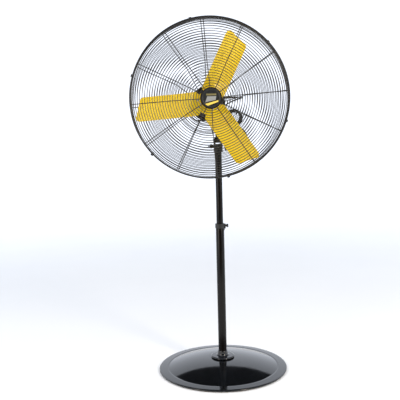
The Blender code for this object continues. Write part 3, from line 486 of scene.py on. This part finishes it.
# Where the first turn begins, and how far the coil runs past its whole turns.
COIL_START = math.radians(-136)
COIL_EXTRA = math.radians(36)
POINTS_PER_TURN = 16
TURN_GAP = 0.0002


def coil_points():
    """The coil's turns, side by side along Y, all under the tie and fanned out away from it."""
    size = sizes()
    middle = centre_of("cord_coil")
    radius = size.coil_radius
    tie_x = middle.x + radius * math.cos(TIE_ANGLE)
    tie_z = middle.z + radius * math.sin(TIE_ANGLE)
    total = math.tau * size.coil_turns + COIL_EXTRA
    pitch = 2 * size.cord_radius + TURN_GAP
    count = POINTS_PER_TURN * size.coil_turns
    points = []
    for step in range(count + 1):
        t = step / count
        swing = np.interp(t * size.coil_turns, np.arange(size.coil_turns) + 0.5, TURN_SWING)
        angle = COIL_START + total * t
        points.append((
            tie_x - radius * math.cos(TIE_ANGLE + swing) + radius * math.cos(angle),
            middle.y - pitch * (1.5 - 3 * t),
            tie_z - radius * math.sin(TIE_ANGLE + swing) + radius * math.sin(angle),
        ))
    return points


class FAN_OT_cord(bpy.types.Operator):
    """Makes the supply cord with its boot, coil, tie and plug"""

    bl_idname = "fan.cord"
    bl_label = "Supply cord"

    def execute(self, context):
        size = sizes()
        route = list(FEED_ROUTE) + coil_points() + list(TAIL_ROUTE)
        curve = bpy.data.curves.new("supply_cord", "CURVE")
        curve.dimensions = "3D"
        curve.bevel_depth = size.cord_radius
        curve.bevel_resolution = 3
        curve.resolution_u = 6
        curve.use_fill_caps = True
        spline = curve.splines.new("BEZIER")
        spline.bezier_points.add(len(route) - 1)
        for point, place in zip(spline.bezier_points, route):
            point.co = place
            point.handle_left_type = "AUTO"
            point.handle_right_type = "AUTO"
        curve.materials.append(bpy.data.materials["cord_sheath"])
        cord = bpy.data.objects.new("supply_cord", curve)
        context.scene.collection.objects.link(cord)
        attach(cord, "head")
        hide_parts("power_cord_feed", "cord_coil", "power_cord_tail")
        self.add_boot()
        plug = self.add_plug()
        return {"FINISHED"}

    def add_boot(self):
        """A hexagonal gland nut and a ribbed, tapered boot."""
        low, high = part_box("strain_relief")
        axis = centre_of("strain_relief")
        nut_start = high[0] - 0.0634
        nut_end = nut_start + 0.0074
        neck = [(0.0, low[0] + 0.0004), (0.0070, low[0] + 0.0004), (0.0070, nut_start)]
        neck.append((0.0, nut_start))
        nut = [(0.0, nut_start), (0.0080, nut_start), (0.0085, nut_start + 0.0006)]
        nut += [(0.0085, nut_end - 0.0006), (0.0078, nut_end), (0.0, nut_end)]
        place = (0, axis.y, axis.z)
        add_piece(
            "gland_neck", turned(neck, "X", place, 32, ring=False), "moulded_plastic", "head",
        )
        add_piece(
            "gland_nut", turned(nut, "X", place, 6, ring=False), "moulded_plastic", "head",
            sharp=20,
        )
        start = nut_end + 0.0002
        ribs = 9
        length = high[0] - 0.003 - start
        boot = [(0.0, start), (0.0064, start)]
        for rib in range(ribs):
            at = start + length * rib / ribs
            radius = 0.0062 - 0.0014 * rib / ribs
            step = length / ribs
            boot += [(radius, at + step * 0.05), (radius, at + step * 0.55)]
            boot += [(radius - 0.0012, at + step * 0.65), (radius - 0.0012, at + step * 0.95)]
        boot += [(0.0047, high[0] - 0.0028), (0.0046, high[0]), (0.0, high[0])]
        add_piece(
            "cord_boot", turned(rounded(boot, 0.0004, 2), "X", place, 32, ring=False), "rubber",
            "head", ("strain_relief",),
        )

    def add_plug(self):
        """A moulded plug with a ribbed neck, grip flutes and three pins."""
        low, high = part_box("plug")
        axis = centre_of("plug")
        top = high[2]
        profile = [(0.0, top), (0.0046, top)]
        for rib in range(4):
            at = top - 0.0010 - 0.0028 * rib
            radius = 0.0052 + 0.0003 * rib
            profile += [(radius, at), (radius, at - 0.0016), (radius - 0.0009, at - 0.0020)]
            profile.append((radius - 0.0009, at - 0.0026))
        profile += [(0.0100, top - 0.0165), (0.0125, top - 0.0230), (0.0128, top - 0.0300)]
        profile += [(0.0130, top - 0.0440), (0.0118, top - 0.0455), (0.0, top - 0.0455)]
        body = turned(rounded(profile, 0.0008, 3), "Z", (axis.x, axis.y, 0), 48, ring=False)
        for vert in body.verts:
            depth = top - vert.co.z
            if 0.024 < depth < 0.042:
                across = Vector((vert.co.x - axis.x, vert.co.y - axis.y))
                if across.length > 0.011:
                    flute = 1 - 0.05 * max(0.0, math.cos(12 * math.atan2(across.y, across.x)))
                    vert.co.x = axis.x + across.x * flute
                    vert.co.y = axis.y + across.y * flute
        plug = add_piece(
            "plug_body", body, "rubber", "head", ("plug",), sharp=50
        )
        pins = bmesh.new()
        base = top - 0.0450
        for side in (-1, 1):
            blade = bmesh.new()
            bmesh.ops.create_cube(blade, size=1.0)
            bmesh.ops.scale(blade, vec=(0.0015, 0.0063, base - low[2]), verts=blade.verts)
            bmesh.ops.bevel(blade, geom=blade.edges, offset=0.0004, segments=2, affect="EDGES")
            middle = (axis.x + side * 0.00635, axis.y + 0.0015, (base + low[2]) / 2)
            bmesh.ops.translate(blade, vec=middle, verts=blade.verts)
            merge_into(pins, blade)
        ground = [(0.0, base), (0.0024, base), (0.0024, low[2] + 0.0012), (0.0015, low[2])]
        ground.append((0.0, low[2]))
        merge_into(
            pins, turned(ground, "Z", (axis.x, axis.y - 0.0070, 0), 20, ring=False)
        )
        prongs = add_piece("plug_pins", pins, "zinc_plate", "head")
        prongs.parent = plug
        prongs.matrix_parent_inverse = plug.matrix_world.inverted()
        return plug


# ---------------------------------------------------------------- cage


CAGE_CENTRE = Vector((-0.0430, 0.0, 1.4660))
SHOULDER_RADIUS = 0.345
RIM_INSET = 0.0042
# Two more rings are welded close inside each rim: (distance in from it, wire radius).
RIM_RINGS = ((0.0072, 0.0021), (0.0135, 0.0019))
# The evenly spaced rings keep this far from the rim and from the hub.
LAST_RING_INSET = 0.0190
FIRST_RING_INSET = 0.004
# Inside this radius, rings and ribs move over to the hub's centre.
HUB_BLEND_RADIUS = 0.190


def guard_line(face_y, crown, hub_radius, rim_y):
    """(radius, y) points of a guard's section from its hub to its rim, and their normals."""
    low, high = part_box("front_guard")
    outer = (high[0] - low[0]) / 2
    sign = 1 if face_y > rim_y else -1
    reach = outer - RIM_INSET - SHOULDER_RADIUS
    rim_edge = rim_y + sign * 0.0035
    drop = abs(face_y - rim_edge) * 0.72
    line = []
    for radius in np.linspace(hub_radius, SHOULDER_RADIUS, 60):
        line.append((radius, face_y + sign * crown * (1 - (radius / SHOULDER_RADIUS) ** 2)))
    for step in np.linspace(0, math.pi / 2, 30)[1:]:
        line.append((
            SHOULDER_RADIUS + reach * math.sin(step), face_y - sign * drop * (1 - math.cos(step))
        ))
    end_radius, end_y = line[-1]
    for t in np.linspace(0, 1, 12)[1:]:
        line.append((end_radius + 0.0008 * t, end_y * (1 - t) + rim_edge * t))
    line = np.array(line)
    along = np.gradient(line, axis=0)
    along /= np.linalg.norm(along, axis=1)[:, None]
    outwards = np.stack([-along[:, 1], along[:, 0]], axis=1) * sign
    return line, outwards


def wire_section(radius, y, wire, sides):
    """The (radius, y) outline of a round wire's section."""
    return [
        (radius + wire * math.cos(a), y + wire * math.sin(a))
        for a in np.linspace(0, math.tau, sides, endpoint=False)
    ]


def make_guard(name, node, face_y, crown, hub_radius, rim_y, turn, plate, hub_centre):
    """Round rings welded on the outside of radial ribs, a heavy rim and a hub plate. Rings and
    ribs near the hub move over to its own centre."""
    size = sizes()
    line, outwards = guard_line(face_y, crown, hub_radius, rim_y)
    rings = line + outwards * size.ring_wire * 0.9
    ribs = line - outwards * size.rib_wire * 0.8
    run = np.concatenate([[0], np.cumsum(np.linalg.norm(np.diff(rings, axis=0), axis=1))])
    shift = hub_centre - CAGE_CENTRE

    def centre_at(radius):
        reach = HUB_BLEND_RADIUS - hub_radius
        towards_hub = min(1.0, max(0.0, (HUB_BLEND_RADIUS - radius) / reach))
        return CAGE_CENTRE + shift * towards_hub

    def add_ring(radius, y, wire, steps):
        section = wire_section(radius, y, wire, 8)
        merge_into(bm, turned(section, "Y", centre_at(radius), steps))

    bm = bmesh.new()
    count = int((run[-1] - 0.006) / size.ring_pitch)
    first = run[-1] - LAST_RING_INSET - (count - 1) * size.ring_pitch
    for index in range(count):
        at = first + index * size.ring_pitch
        if at < FIRST_RING_INSET:
            continue
        radius = np.interp(at, run, rings[:, 0])
        y = np.interp(at, run, rings[:, 1])
        add_ring(radius, y, size.ring_wire, int(min(180, max(72, radius * math.tau / 0.013))))
    for inset, wire in RIM_RINGS:
        radius = np.interp(run[-1] - inset, run, rings[:, 0])
        y = np.interp(run[-1] - inset, run, rings[:, 1])
        add_ring(radius, y, wire, 180)
    for index in range(size.rib_count):
        angle = size.first_rib + turn + math.tau * index / size.rib_count
        out = Vector((math.cos(angle), 0, math.sin(angle)))
        side = Vector((-math.sin(angle), 0, math.cos(angle)))
        points = [centre_at(radius) + out * radius + Vector((0, y, 0)) for radius, y in ribs[::2]]
        merge_into(bm, tube_along(points, size.rib_wire, side, 10))
    rim_radius = line[-1][0] + 0.0003
    section = wire_section(rim_radius, rim_y, size.rim_wire, 14)
    merge_into(bm, turned(section, "Y", CAGE_CENTRE, 200))
    merge_into(bm, turned(plate, "Y", hub_centre, 96))
    return add_piece(name, bm, "wire_coating", "head", (node,))


class FAN_OT_cage(bpy.types.Operator):
    """Makes the two wire guards of the cage"""

    bl_idname = "fan.cage"
    bl_label = "Cage"

    def execute(self, context):
        size = sizes()
        rear_low, rear_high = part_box("rear_guard")
        front_low, front_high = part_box("front_guard")
        motor = centre_of("motor_shell")
        badge = centre_of("badge_plate")
        # The solids are 3.6 mm thick, centred on the guard's middle surface.
        half = 0.0018
        rim = (rear_low[1] + front_high[1]) / 2
        rear_face = rear_high[1] - half
        front_middle = front_low[1] + half
        plate_back = rear_high[1]
        rear_plate = rounded(
            [(0.0752, plate_back - 0.0002), (0.0752, plate_back - 0.0022),
             (0.0850, plate_back - 0.0022), (0.0875, plate_back - 0.0034),
             (0.0910, plate_back - 0.0034), (0.0910, plate_back - 0.0016),
             (0.0875, plate_back - 0.0002)], 0.0006, 3,
        )
        front_plate = [(0.0400, front_middle + 0.0010), (0.0540, front_middle + 0.0010)]
        front_plate += [(0.0540, front_middle - 0.0008), (0.0400, front_middle - 0.0008)]
        make_guard(
            "rear_guard_wires", "rear_guard", rear_face, 0.0, 0.0820, rim + 0.0038,
            size.rear_turn, rear_plate, Vector((motor.x, 0.0, motor.z)),
        )
        make_guard(
            "front_guard_wires", "front_guard", front_middle + 0.0100, 0.0100, 0.0480,
            rim - 0.0038, 0.0, front_plate, Vector((badge.x, 0.0, badge.z)),
        )
        return {"FINISHED"}


BADGE_RADIUS = 0.0470


class FAN_OT_badge(bpy.types.Operator):
    """Makes the round badge at the centre of the cage, with plain bars on it"""

    bl_idname = "fan.badge"
    bl_label = "Badge"

    def execute(self, context):
        low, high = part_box("badge_plate")
        middle = centre_of("badge_plate")
        radius = BADGE_RADIUS
        back, front = high[1], low[1]
        profile = [(0.0, back), (radius, back), (radius, front + 0.0022)]
        profile += [(radius - 0.0020, front + 0.0002), (radius - 0.0055, front)]
        profile += [(radius - 0.0070, front + 0.0010), (0.0, front + 0.0009)]
        disc = turned(
            rounded(profile, 0.0008, 3), "Y", (middle.x, 0, middle.z), 128, ring=False
        )
        add_piece("badge_disc", disc, "badge_vinyl", "head", ("badge_plate",))
        # Plain bars in print colours that are darkened with painted shade.
        marks = (
            ("badge_bar", "badge_bar_ink",
             ((-0.0235, 0.0128), (0.0258, 0.0128), (0.0258, 0.0215), (-0.0235, 0.0215))),
            ("badge_block", "badge_grey_ink",
             ((-0.0290, -0.0205), (-0.0120, -0.0165), (0.0225, -0.0095), (0.0258, 0.0085),
              (-0.0190, 0.0085))),
            ("badge_slash", "badge_slash_ink",
             ((-0.0205, -0.0390), (0.0352, -0.0195), (0.0350, -0.0118), (-0.0308, -0.0285))),
        )
        for name, shaded_ink, outline in marks:
            placed = [(middle.x + x, middle.z + z) for x, z in outline]
            mark = prism(placed, front + 0.0009, front + 0.0004)
            add_piece(name, mark, shaded_ink, "head")
        return {"FINISHED"}


# ---------------------------------------------------------------- fan


BLADE_ROOT = 0.034
BLADE_TIP = 0.358
TIP_SLANT = 0.013
CAMBER = 0.008
ROOT_PITCH = math.radians(29)
TIP_PITCH = math.radians(19)
TIP_CORNER = 0.020
BLADE_SHEET = 0.0016
# The share of a blade's rows that lies before its rounded tip corners.
EVEN_ROWS = 0.8


def blade_point(along, across):
    """A point of the blade's middle surface: outwards, round the circle, and forwards."""
    length = BLADE_TIP - BLADE_ROOT
    root = min(1.0, along / 0.09)
    half = sizes().blade_half_width * (0.52 + 0.48 * math.sin(root * math.pi / 2))
    into_corner = max(0.0, (along - 1) * length + TIP_CORNER) / TIP_CORNER
    half -= TIP_CORNER * (1 - math.sqrt(max(0.0, 1 - into_corner**2)))
    twist_in = min(1.0, max(0.0, (along - 0.09) / 0.19))
    twist_in = twist_in * twist_in * (3 - 2 * twist_in)
    pitch = (ROOT_PITCH + (TIP_PITCH - ROOT_PITCH) * along) * twist_in
    lift = half * across * math.tan(pitch) - CAMBER * twist_in * (1 - across * across)
    return BLADE_ROOT + length * along + TIP_SLANT * across * along**2, half * across, lift


class FAN_OT_fan(bpy.types.Operator):
    """Makes the blades with their rivets, the spider and the hub's cap"""

    bl_idname = "fan.fan"
    bl_label = "Blades and hub"

    def execute(self, context):
        hub = centre_of("fan_spider")
        low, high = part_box("fan_spider")
        size = sizes()
        blade_y = low[1] - 0.0003 - BLADE_SHEET / 2
        corner_start = 1 - TIP_CORNER / (BLADE_TIP - BLADE_ROOT)
        for number in range(3):
            angle = size.first_blade + math.tau * number / 3
            turn = (
                Matrix.Translation((hub.x, blade_y, hub.z))
                @ Matrix.Rotation(math.radians(90), 4, "X")
                @ Matrix.Rotation(angle, 4, "Z")
            )
            bm = bmesh.new()
            bmesh.ops.create_grid(bm, x_segments=56, y_segments=24, size=1.0)
            for vert in bm.verts:
                # The last rows crowd together to round the tip's corners.
                at = (vert.co.x + 1) / 2
                along = at / EVEN_ROWS * corner_start
                if at > EVEN_ROWS:
                    bend = math.sin((at - EVEN_ROWS) / 0.2 * math.pi / 2)
                    along = corner_start + (1 - corner_start) * bend
                vert.co = blade_point(along, vert.co.y)
            bm.transform(turn)
            blade = add_piece(
                f"blade_{number + 1}_sheet", bm, "blade_enamel", "fan",
                (f"blade_{number + 1}",),
            )
            solid = blade.modifiers.new("thickness", "SOLIDIFY")
            solid.thickness = BLADE_SHEET
            solid.offset = 0.0
            edge = blade.modifiers.new("edge", "BEVEL")
            edge.width = 0.0004
            edge.segments = 2
            edge.limit_method = "ANGLE"
            edge.angle_limit = math.radians(60)
            rivets = bmesh.new()
            for out, across in ((0.0400, 0.0), (0.0520, -0.017), (0.0520, 0.017)):
                centre = turn @ Vector((out, across, BLADE_SHEET / 2))
                head = dome_head((0, 0, 0), "Y", 0.0042, 0.0020)
                head.transform(Matrix.Translation(centre) @ Matrix.Rotation(math.pi, 4, "X"))
                merge_into(rivets, head)
            add_piece(f"blade_{number + 1}_rivets", rivets, "zinc_plate", "fan")
        radius = (high[0] - low[0]) / 2
        spider = rounded(
            [(0.0067, high[1]), (radius, high[1]), (radius, low[1]), (0.0300, low[1]),
             (0.0067, low[1])], 0.0006, 3,
        )
        add_piece(
            "spider_disc", turned(spider, "Y", (hub.x, 0, hub.z), 128), "blade_enamel", "fan",
            ("fan_spider",),
        )
        cap_low, cap_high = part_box("hub_cap")
        back, front = cap_high[1], cap_low[1]
        cap = rounded(
            [(0.0070, back), (0.0190, back), (0.0185, back - 0.0030), (0.0130, front + 0.0010),
             (0.0115, front), (0.0070, front)], 0.0008, 3,
        )
        add_piece(
            "hub_nut_washer", turned(cap, "Y", (hub.x, 0, hub.z), 64), "zinc_plate", "fan",
            ("hub_cap",),
        )
        return {"FINISHED"}


# ---------------------------------------------------------------- base and pole


BEAD = 0.0030


class FAN_OT_base(bpy.types.Operator):
    """Makes the dished base, the ring it stands on and the pole's cast flange"""

    bl_idname = "fan.base"
    bl_label = "Base"

    def execute(self, context):
        low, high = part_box("base_shell")
        edge = high[0]
        top = high[2]
        hole = 0.0235
        foot, foot_height = 0.296, 0.0150
        outer = []
        for radius in np.linspace(hole, foot, 48):
            t = (radius - hole) / (foot - hole)
            outer.append((radius, foot_height + (top - foot_height) * (1 - t * t)))
        # A shallow groove where the dome meets the brim, then the brim and its rolled edge.
        outer += [(0.2985, 0.0141), (0.3010, 0.0142), (0.3035, 0.0149), (0.3060, 0.0150)]
        outer += [(radius, 0.0150 - 0.0034 * (radius - 0.306) / 0.037) for radius in
                  np.linspace(0.310, 0.341, 8)]
        for angle in np.linspace(math.radians(80), math.radians(-90), 14):
            outer.append((edge - BEAD + BEAD * math.cos(angle), 0.0078 + BEAD * math.sin(angle)))
        inner = [(0.3400, 0.0085), (0.304, 0.0130)]
        inner += [(radius, height - 0.0018) for radius, height in reversed(outer[:48:4])]
        add_piece(
            "base_dish", turned(outer + inner, "Z", (0, 0, 0), 192), "gloss_powder_coat", "base",
            ("base_shell",),
        )
        ring = [(0.0, 0.0), (0.3340, 0.0), (0.3340, 0.0070), (0.3250, 0.0090), (0.3235, 0.0015)]
        ring.append((0.0, 0.0015))
        add_piece(
            "foot_ring", turned(rounded(ring, 0.0006, 2), "Z", (0, 0, 0), 144, ring=False),
            "rubber", "base", ("base_bottom_plate",),
        )
        low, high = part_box("pole_flange")
        radius, seat, top = high[0], low[2], high[2]
        bore = 0.0228
        face = seat + 0.0103
        casting = [(bore, seat), (radius - 0.0030, seat), (radius - 0.0004, seat + 0.0022)]
        casting += [(radius, seat + 0.0045), (radius - 0.0004, seat + 0.0072)]
        casting += [(radius - 0.0040, face - 0.0004), (0.0470, face), (0.0360, face + 0.0006)]
        casting += [(0.0305, face + 0.0040), (0.0278, face + 0.0100), (0.0262, top - 0.0040)]
        casting += [(0.0250, top - 0.0008), (0.0240, top), (bore, top)]
        add_piece(
            "flange_casting", turned(rounded(casting, 0.0022, 5), "Z", (0, 0, 0), 128),
            "gloss_powder_coat", "base", ("pole_flange",),
        )
        return {"FINISHED"}


def add_tube(name, node, bore, body):
    """A finely turned tube with its ends eased, in place of a coarser solid."""
    low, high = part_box(node)
    radius = (high[0] - low[0]) / 2
    profile = [(bore, low[2]), (radius, low[2]), (radius, high[2]), (bore, high[2]), (bore, low[2])]
    rows = []
    for start, end in zip(profile, profile[1:]):
        rows.append(start)
        rows.append(tuple(Vector(start).lerp(Vector(end), 0.5)))
    add_piece(
        name, turned(rounded(rows, 0.0004, 2)[:-1], "Z", (0, 0, 0), 96), "tube_enamel", body,
        (node,),
    )


def hand_knob(start, length, radius, axis_place, sign, lobes, tip=0.0):
    """A knob turned about X with finger lobes round its grip."""
    back = start + length
    profile = [(0.0, start - 0.0060), (0.0030, start - 0.0060), (0.0030, start)]
    profile += [(radius * 0.62, start), (radius * 0.66, start + length * 0.25)]
    profile += [(radius * 0.96, start + length * 0.38), (radius, start + length * 0.55)]
    profile += [(radius, back - length * 0.22), (radius * 0.86, back)]
    if tip:
        profile += [(0.0026, back), (0.0023, back + tip)]
        back += tip
    profile.append((0.0, back))
    bm = turned(rounded(profile, 0.0009, 3), "X", (0, 0, 0), lobes * 10, ring=False)
    for vert in bm.verts:
        reach = math.hypot(vert.co.y, vert.co.z)
        if reach > radius * 0.7:
            angle = math.atan2(vert.co.z, vert.co.y)
            dip = 1 - 0.07 * (0.5 - 0.5 * math.cos(lobes * angle)) ** 2
            vert.co.y *= dip
            vert.co.z *= dip
    if sign < 0:
        bmesh.ops.scale(bm, vec=(-1, 1, 1), verts=bm.verts)
        bmesh.ops.reverse_faces(bm, faces=bm.faces)
    bmesh.ops.translate(bm, vec=axis_place, verts=bm.verts)
    return bm


def add_hand_knob(node, start, sign, lobes, tip=0.0):
    """The knob of a clamp screw, from start to the end of its solid, in place of that solid."""
    low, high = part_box(node)
    length = max(high[0], -low[0]) - tip - start
    place = (0, 0, centre_of(node).z)
    knob = hand_knob(start, length, (high[2] - low[2]) / 2, place, sign, lobes, tip)
    add_piece(f"{node}_grip", knob, "moulded_plastic", node, (node,), 50)


class FAN_OT_pole(bpy.types.Operator):
    """Makes the two tubes and the clamp knobs"""

    bl_idname = "fan.pole"
    bl_label = "Pole and knobs"

    def execute(self, context):
        add_tube("lower_tube_skin", "lower_tube", 0.0205, "base")
        add_tube("upper_tube_skin", "upper_tube", 0.0162, "mast")
        add_hand_knob("height_knob", 0.0316, 1, 7)
        add_hand_knob("swivel_knob", 0.0252, -1, 8, 0.0105)
        return {"FINISHED"}


# ---------------------------------------------------------------- motor


class FAN_OT_motor(bpy.types.Operator):
    """Makes the motor's drum, its end bells with their screws, and the switch knob"""

    bl_idname = "fan.motor"
    bl_label = "Motor"

    def execute(self, context):
        hub = centre_of("motor_shell")
        place = (hub.x, 0, hub.z)
        low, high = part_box("motor_shell")
        radius = (high[0] - low[0]) / 2
        front, rear = low[1], high[1]
        # The drum has two rolled beads, 12 mm from its ends.
        drum = [(0.0750, front), (radius, front)]
        for bead in (front + 0.012, rear - 0.012):
            drum += [(radius, bead - 0.0030), (radius - 0.0012, bead), (radius, bead + 0.0030)]
        drum += [(radius, rear), (0.0750, rear)]
        add_piece(
            "motor_drum", turned(rounded(drum, 0.0012, 4), "Y", place, 128), "motor_paint",
            "head", ("motor_shell",),
        )
        nose = [(0.0092, -0.0690), (0.0092, -0.0800), (0.0220, -0.0800), (0.0260, -0.0760)]
        nose += [(0.0600, -0.0710), (0.0740, -0.0645), (0.0740, -0.0602), (0.0870, -0.0602)]
        nose += [(0.0870, front - 0.0003), (0.0747, front - 0.0003), (0.0747, -0.0500)]
        nose += [(0.0700, -0.0500), (0.0700, -0.0580), (0.0580, -0.0660), (0.0195, -0.0705)]
        nose += [(0.0195, -0.0580), (0.0156, -0.0580), (0.0156, -0.0690)]
        add_piece(
            "front_bell", turned(rounded(nose, 0.0020, 4), "Y", place, 128), "motor_paint",
            "head", ("motor_front_bell",),
        )
        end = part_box("motor_rear_bell")[1][1]
        tail = [(0.0, end), (0.0300, end), (0.0330, end - 0.0012), (0.0380, end - 0.0012)]
        tail += [(0.0410, end), (0.0690, end), (0.0755, end - 0.0030), (radius, end - 0.0085)]
        tail += [(radius, rear + 0.0003), (0.0747, rear + 0.0003), (0.0747, 0.0560)]
        tail += [(0.0710, 0.0560), (0.0710, 0.0800), (0.0660, 0.0860), (0.0195, 0.0860)]
        tail += [(0.0195, 0.0680), (0.0156, 0.0680), (0.0156, 0.0800), (0.0, 0.0800)]
        add_piece(
            "rear_bell", turned(rounded(tail, 0.0022, 4), "Y", place, 128, ring=False),
            "motor_paint", "head", ("motor_rear_bell",),
        )
        self.add_through_bolts(hub, end)
        self.add_switch_knob()
        return {"FINISHED"}

    def add_through_bolts(self, hub, end):
        """Two domed heads on the rear bell, above the switch box."""
        bm = bmesh.new()
        for turn in (45, 135):
            angle = math.radians(turn)
            centre = (hub.x + 0.062 * math.cos(angle), end, hub.z + 0.062 * math.sin(angle))
            merge_into(bm, dome_head(centre, "Y", 0.0050, 0.0028))
        add_piece("bell_bolts", bm, "zinc_plate", "head")

    def add_switch_knob(self):
        """A round skirt with a raised pointer bar."""
        low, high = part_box("switch_knob")
        middle = centre_of("switch_knob")
        skirt = high[1] - 0.0125
        radius = (high[0] - low[0]) / 2
        profile = [(0.0, skirt - 0.0022), (0.0030, skirt - 0.0022), (0.0030, skirt)]
        profile += [(radius, skirt), (radius - 0.0005, skirt + 0.0040)]
        profile += [(radius * 0.62, skirt + 0.0050), (radius * 0.58, high[1] - 0.0005)]
        profile += [(0.0, high[1])]
        bm = turned(rounded(profile, 0.0008, 3), "Y", (middle.x, 0, middle.z), 60, ring=False)
        bar = bmesh.new()
        bmesh.ops.create_cube(bar, size=1.0)
        bar_size = (0.0050, high[1] - skirt - 0.0024, 2 * radius - 0.004)
        bmesh.ops.scale(bar, vec=bar_size, verts=bar.verts)
        bmesh.ops.bevel(bar, geom=bar.edges, offset=0.0011, segments=3, affect="EDGES")
        bmesh.ops.translate(
            bar, vec=(middle.x, (high[1] + skirt + 0.0020) / 2, middle.z), verts=bar.verts
        )
        merge_into(bm, bar)
        add_piece(
            "switch_knob_grip", bm, "moulded_plastic", "switch_knob", ("switch_knob",),
            45,
        )


# ---------------------------------------------------------------- solids carried over


def finish_solids():
    """Gives every solid that still shows the material of its slot."""
    slot_of = {entry["node"]: entry["material_slot"] for entry in frame["record"]["subparts"]}
    for node, slot in slot_of.items():
        solid = frame["nodes"][node]
        solid = bpy.data.objects[solid] if isinstance(solid, str) else solid
        finish = bpy.data.materials[SLOT_FINISH[slot]]
        if not solid.material_slots:
            solid.data.materials.append(finish)
        for material_slot in solid.material_slots:
            material_slot.material = finish


# ---------------------------------------------------------------- stage


def stage_sheet(name, width, height, place, tilt, finish):
    """A flat sheet of the studio, width by height, tilted about X."""
    bm = bmesh.new()
    bmesh.ops.create_grid(bm, x_segments=1, y_segments=1, size=0.5)
    bmesh.ops.scale(bm, vec=(width, height, 1), verts=bm.verts)
    bm.transform(Matrix.Translation(place) @ Matrix.Rotation(math.radians(tilt), 4, "X"))
    mesh = bpy.data.meshes.new(name)
    bm.to_mesh(mesh)
    bm.free()
    mesh.materials.append(finish)
    sheet = bpy.data.objects.new(name, mesh)
    bpy.context.scene.collection.objects.link(sheet)
    return sheet


class FAN_OT_stage(bpy.types.Operator):
    """Sets the camera, the floor, the lights and the surroundings"""

    bl_idname = "fan.stage"
    bl_label = "Stage"

    def execute(self, context):
        scene = context.scene
        scene.view_settings.view_transform = "Standard"
        self.add_camera(scene)
        self.add_floor()
        self.add_lights(scene)
        return {"FINISHED"}

    def add_camera(self, scene):
        yaw, pitch, roll = (math.radians(a) for a in (0.355, 6.028, -1.470))
        forward = Vector((
            math.sin(yaw) * math.cos(pitch), math.cos(yaw) * math.cos(pitch), -math.sin(pitch)
        ))
        right = Vector((math.cos(yaw), -math.sin(yaw), 0))
        up = right.cross(forward)
        x = math.cos(roll) * right + math.sin(roll) * up
        y = math.cos(roll) * up - math.sin(roll) * right
        data = bpy.data.cameras.new("camera")
        data.lens = 57.6
        data.sensor_width = 36.0
        camera = bpy.data.objects.new("camera", data)
        scene.collection.objects.link(camera)
        turn = Matrix((x, y, -forward)).transposed().to_4x4()
        camera.matrix_world = Matrix.Translation((-0.1252, -3.424, 1.296)) @ turn
        scene.camera = camera

    def add_floor(self):
        # Studio floor: pale matt paint with a barely seen mottling.
        finish = new_material(
            "studio_floor", tinted(colours().floor, 0.5, 0.985, 1.0), varied(0.2, 0.7, 0.9)
        )
        stage_sheet("studio_floor", 28.0, 28.0, (0, 0, 0), 0, finish)

    def add_lights(self, scene):
        # Slightly cool surroundings, a little brighter than white.
        world = bpy.data.worlds.new("studio")
        world.use_nodes = True
        ground = world.node_tree.nodes["Background"]
        ground.inputs["Color"].default_value = linear("#EEF4FF")
        ground.inputs["Strength"].default_value = 1.35
        scene.world = world
        target = Vector((0, 0, 1.1))
        for name, place, width, height, power in (
            ("key", (2.2, -3.0, 2.6), 0.7, 2.2, 90.0),
            ("warm_fill", (-2.6, -2.6, 1.6), 1.0, 2.0, 35.0),
        ):
            data = bpy.data.lights.new(name, "AREA")
            data.shape = "RECTANGLE"
            data.size = width
            data.size_y = height
            data.energy = power
            data.color = linear("#FFF1DC")[:3]
            lamp = bpy.data.objects.new(name, data)
            scene.collection.objects.link(lamp)
            lamp.location = place
            lamp.rotation_mode = "QUATERNION"
            lamp.rotation_quaternion = (target - Vector(place)).to_track_quat("-Z", "Y")
        # Black card: matt, out of the camera's view, so that black paint has something dark to
        # reflect.
        dark = new_material("black_card", tinted("#171411", 0.4), varied(0.3, 0.85, 0.95))
        for name, width, height, place, tilt in (
            ("front_card", 9.0, 5.0, (0.0, -5.2, 1.6), 90),
            ("top_card", 6.0, 3.6, (0.0, 2.6, 4.0), -25),
        ):
            stage_sheet(name, width, height, place, tilt, dark).visible_camera = False


class FAN_PT_panel(bpy.types.Panel):
    """Sizes, colours and one button for each group of pieces"""

    bl_idname = "FAN_PT_panel"
    bl_label = "Pedestal fan"
    bl_space_type = "VIEW_3D"
    bl_region_type = "UI"
    bl_category = "Fan"

    def draw(self, context):
        layout = self.layout
        for group in (context.scene.fan_sizes, context.scene.fan_colours):
            box = layout.box()
            for name in group.__annotations__:
                box.prop(group, name)
        for operator in OPERATORS:
            layout.operator(operator.bl_idname)


OPERATORS = (
    FAN_OT_stage, FAN_OT_cord, FAN_OT_base, FAN_OT_pole, FAN_OT_motor, FAN_OT_fan, FAN_OT_cage,
    FAN_OT_badge,
)
CLASSES = (FanSizes, FanColours, *OPERATORS, FAN_PT_panel)


def register():
    for made in CLASSES:
        bpy.utils.register_class(made)
    bpy.types.Scene.fan_sizes = PointerProperty(type=FanSizes)
    bpy.types.Scene.fan_colours = PointerProperty(type=FanColours)


def unregister():
    del bpy.types.Scene.fan_colours
    del bpy.types.Scene.fan_sizes
    for made in reversed(CLASSES):
        bpy.utils.unregister_class(made)


def main():
    register()
    make_materials()
    finish_solids()
    for operator in OPERATORS:
        group, name = operator.bl_idname.split(".")
        getattr(getattr(bpy.ops, group), name)()


if __name__ == "__main__":
    main()
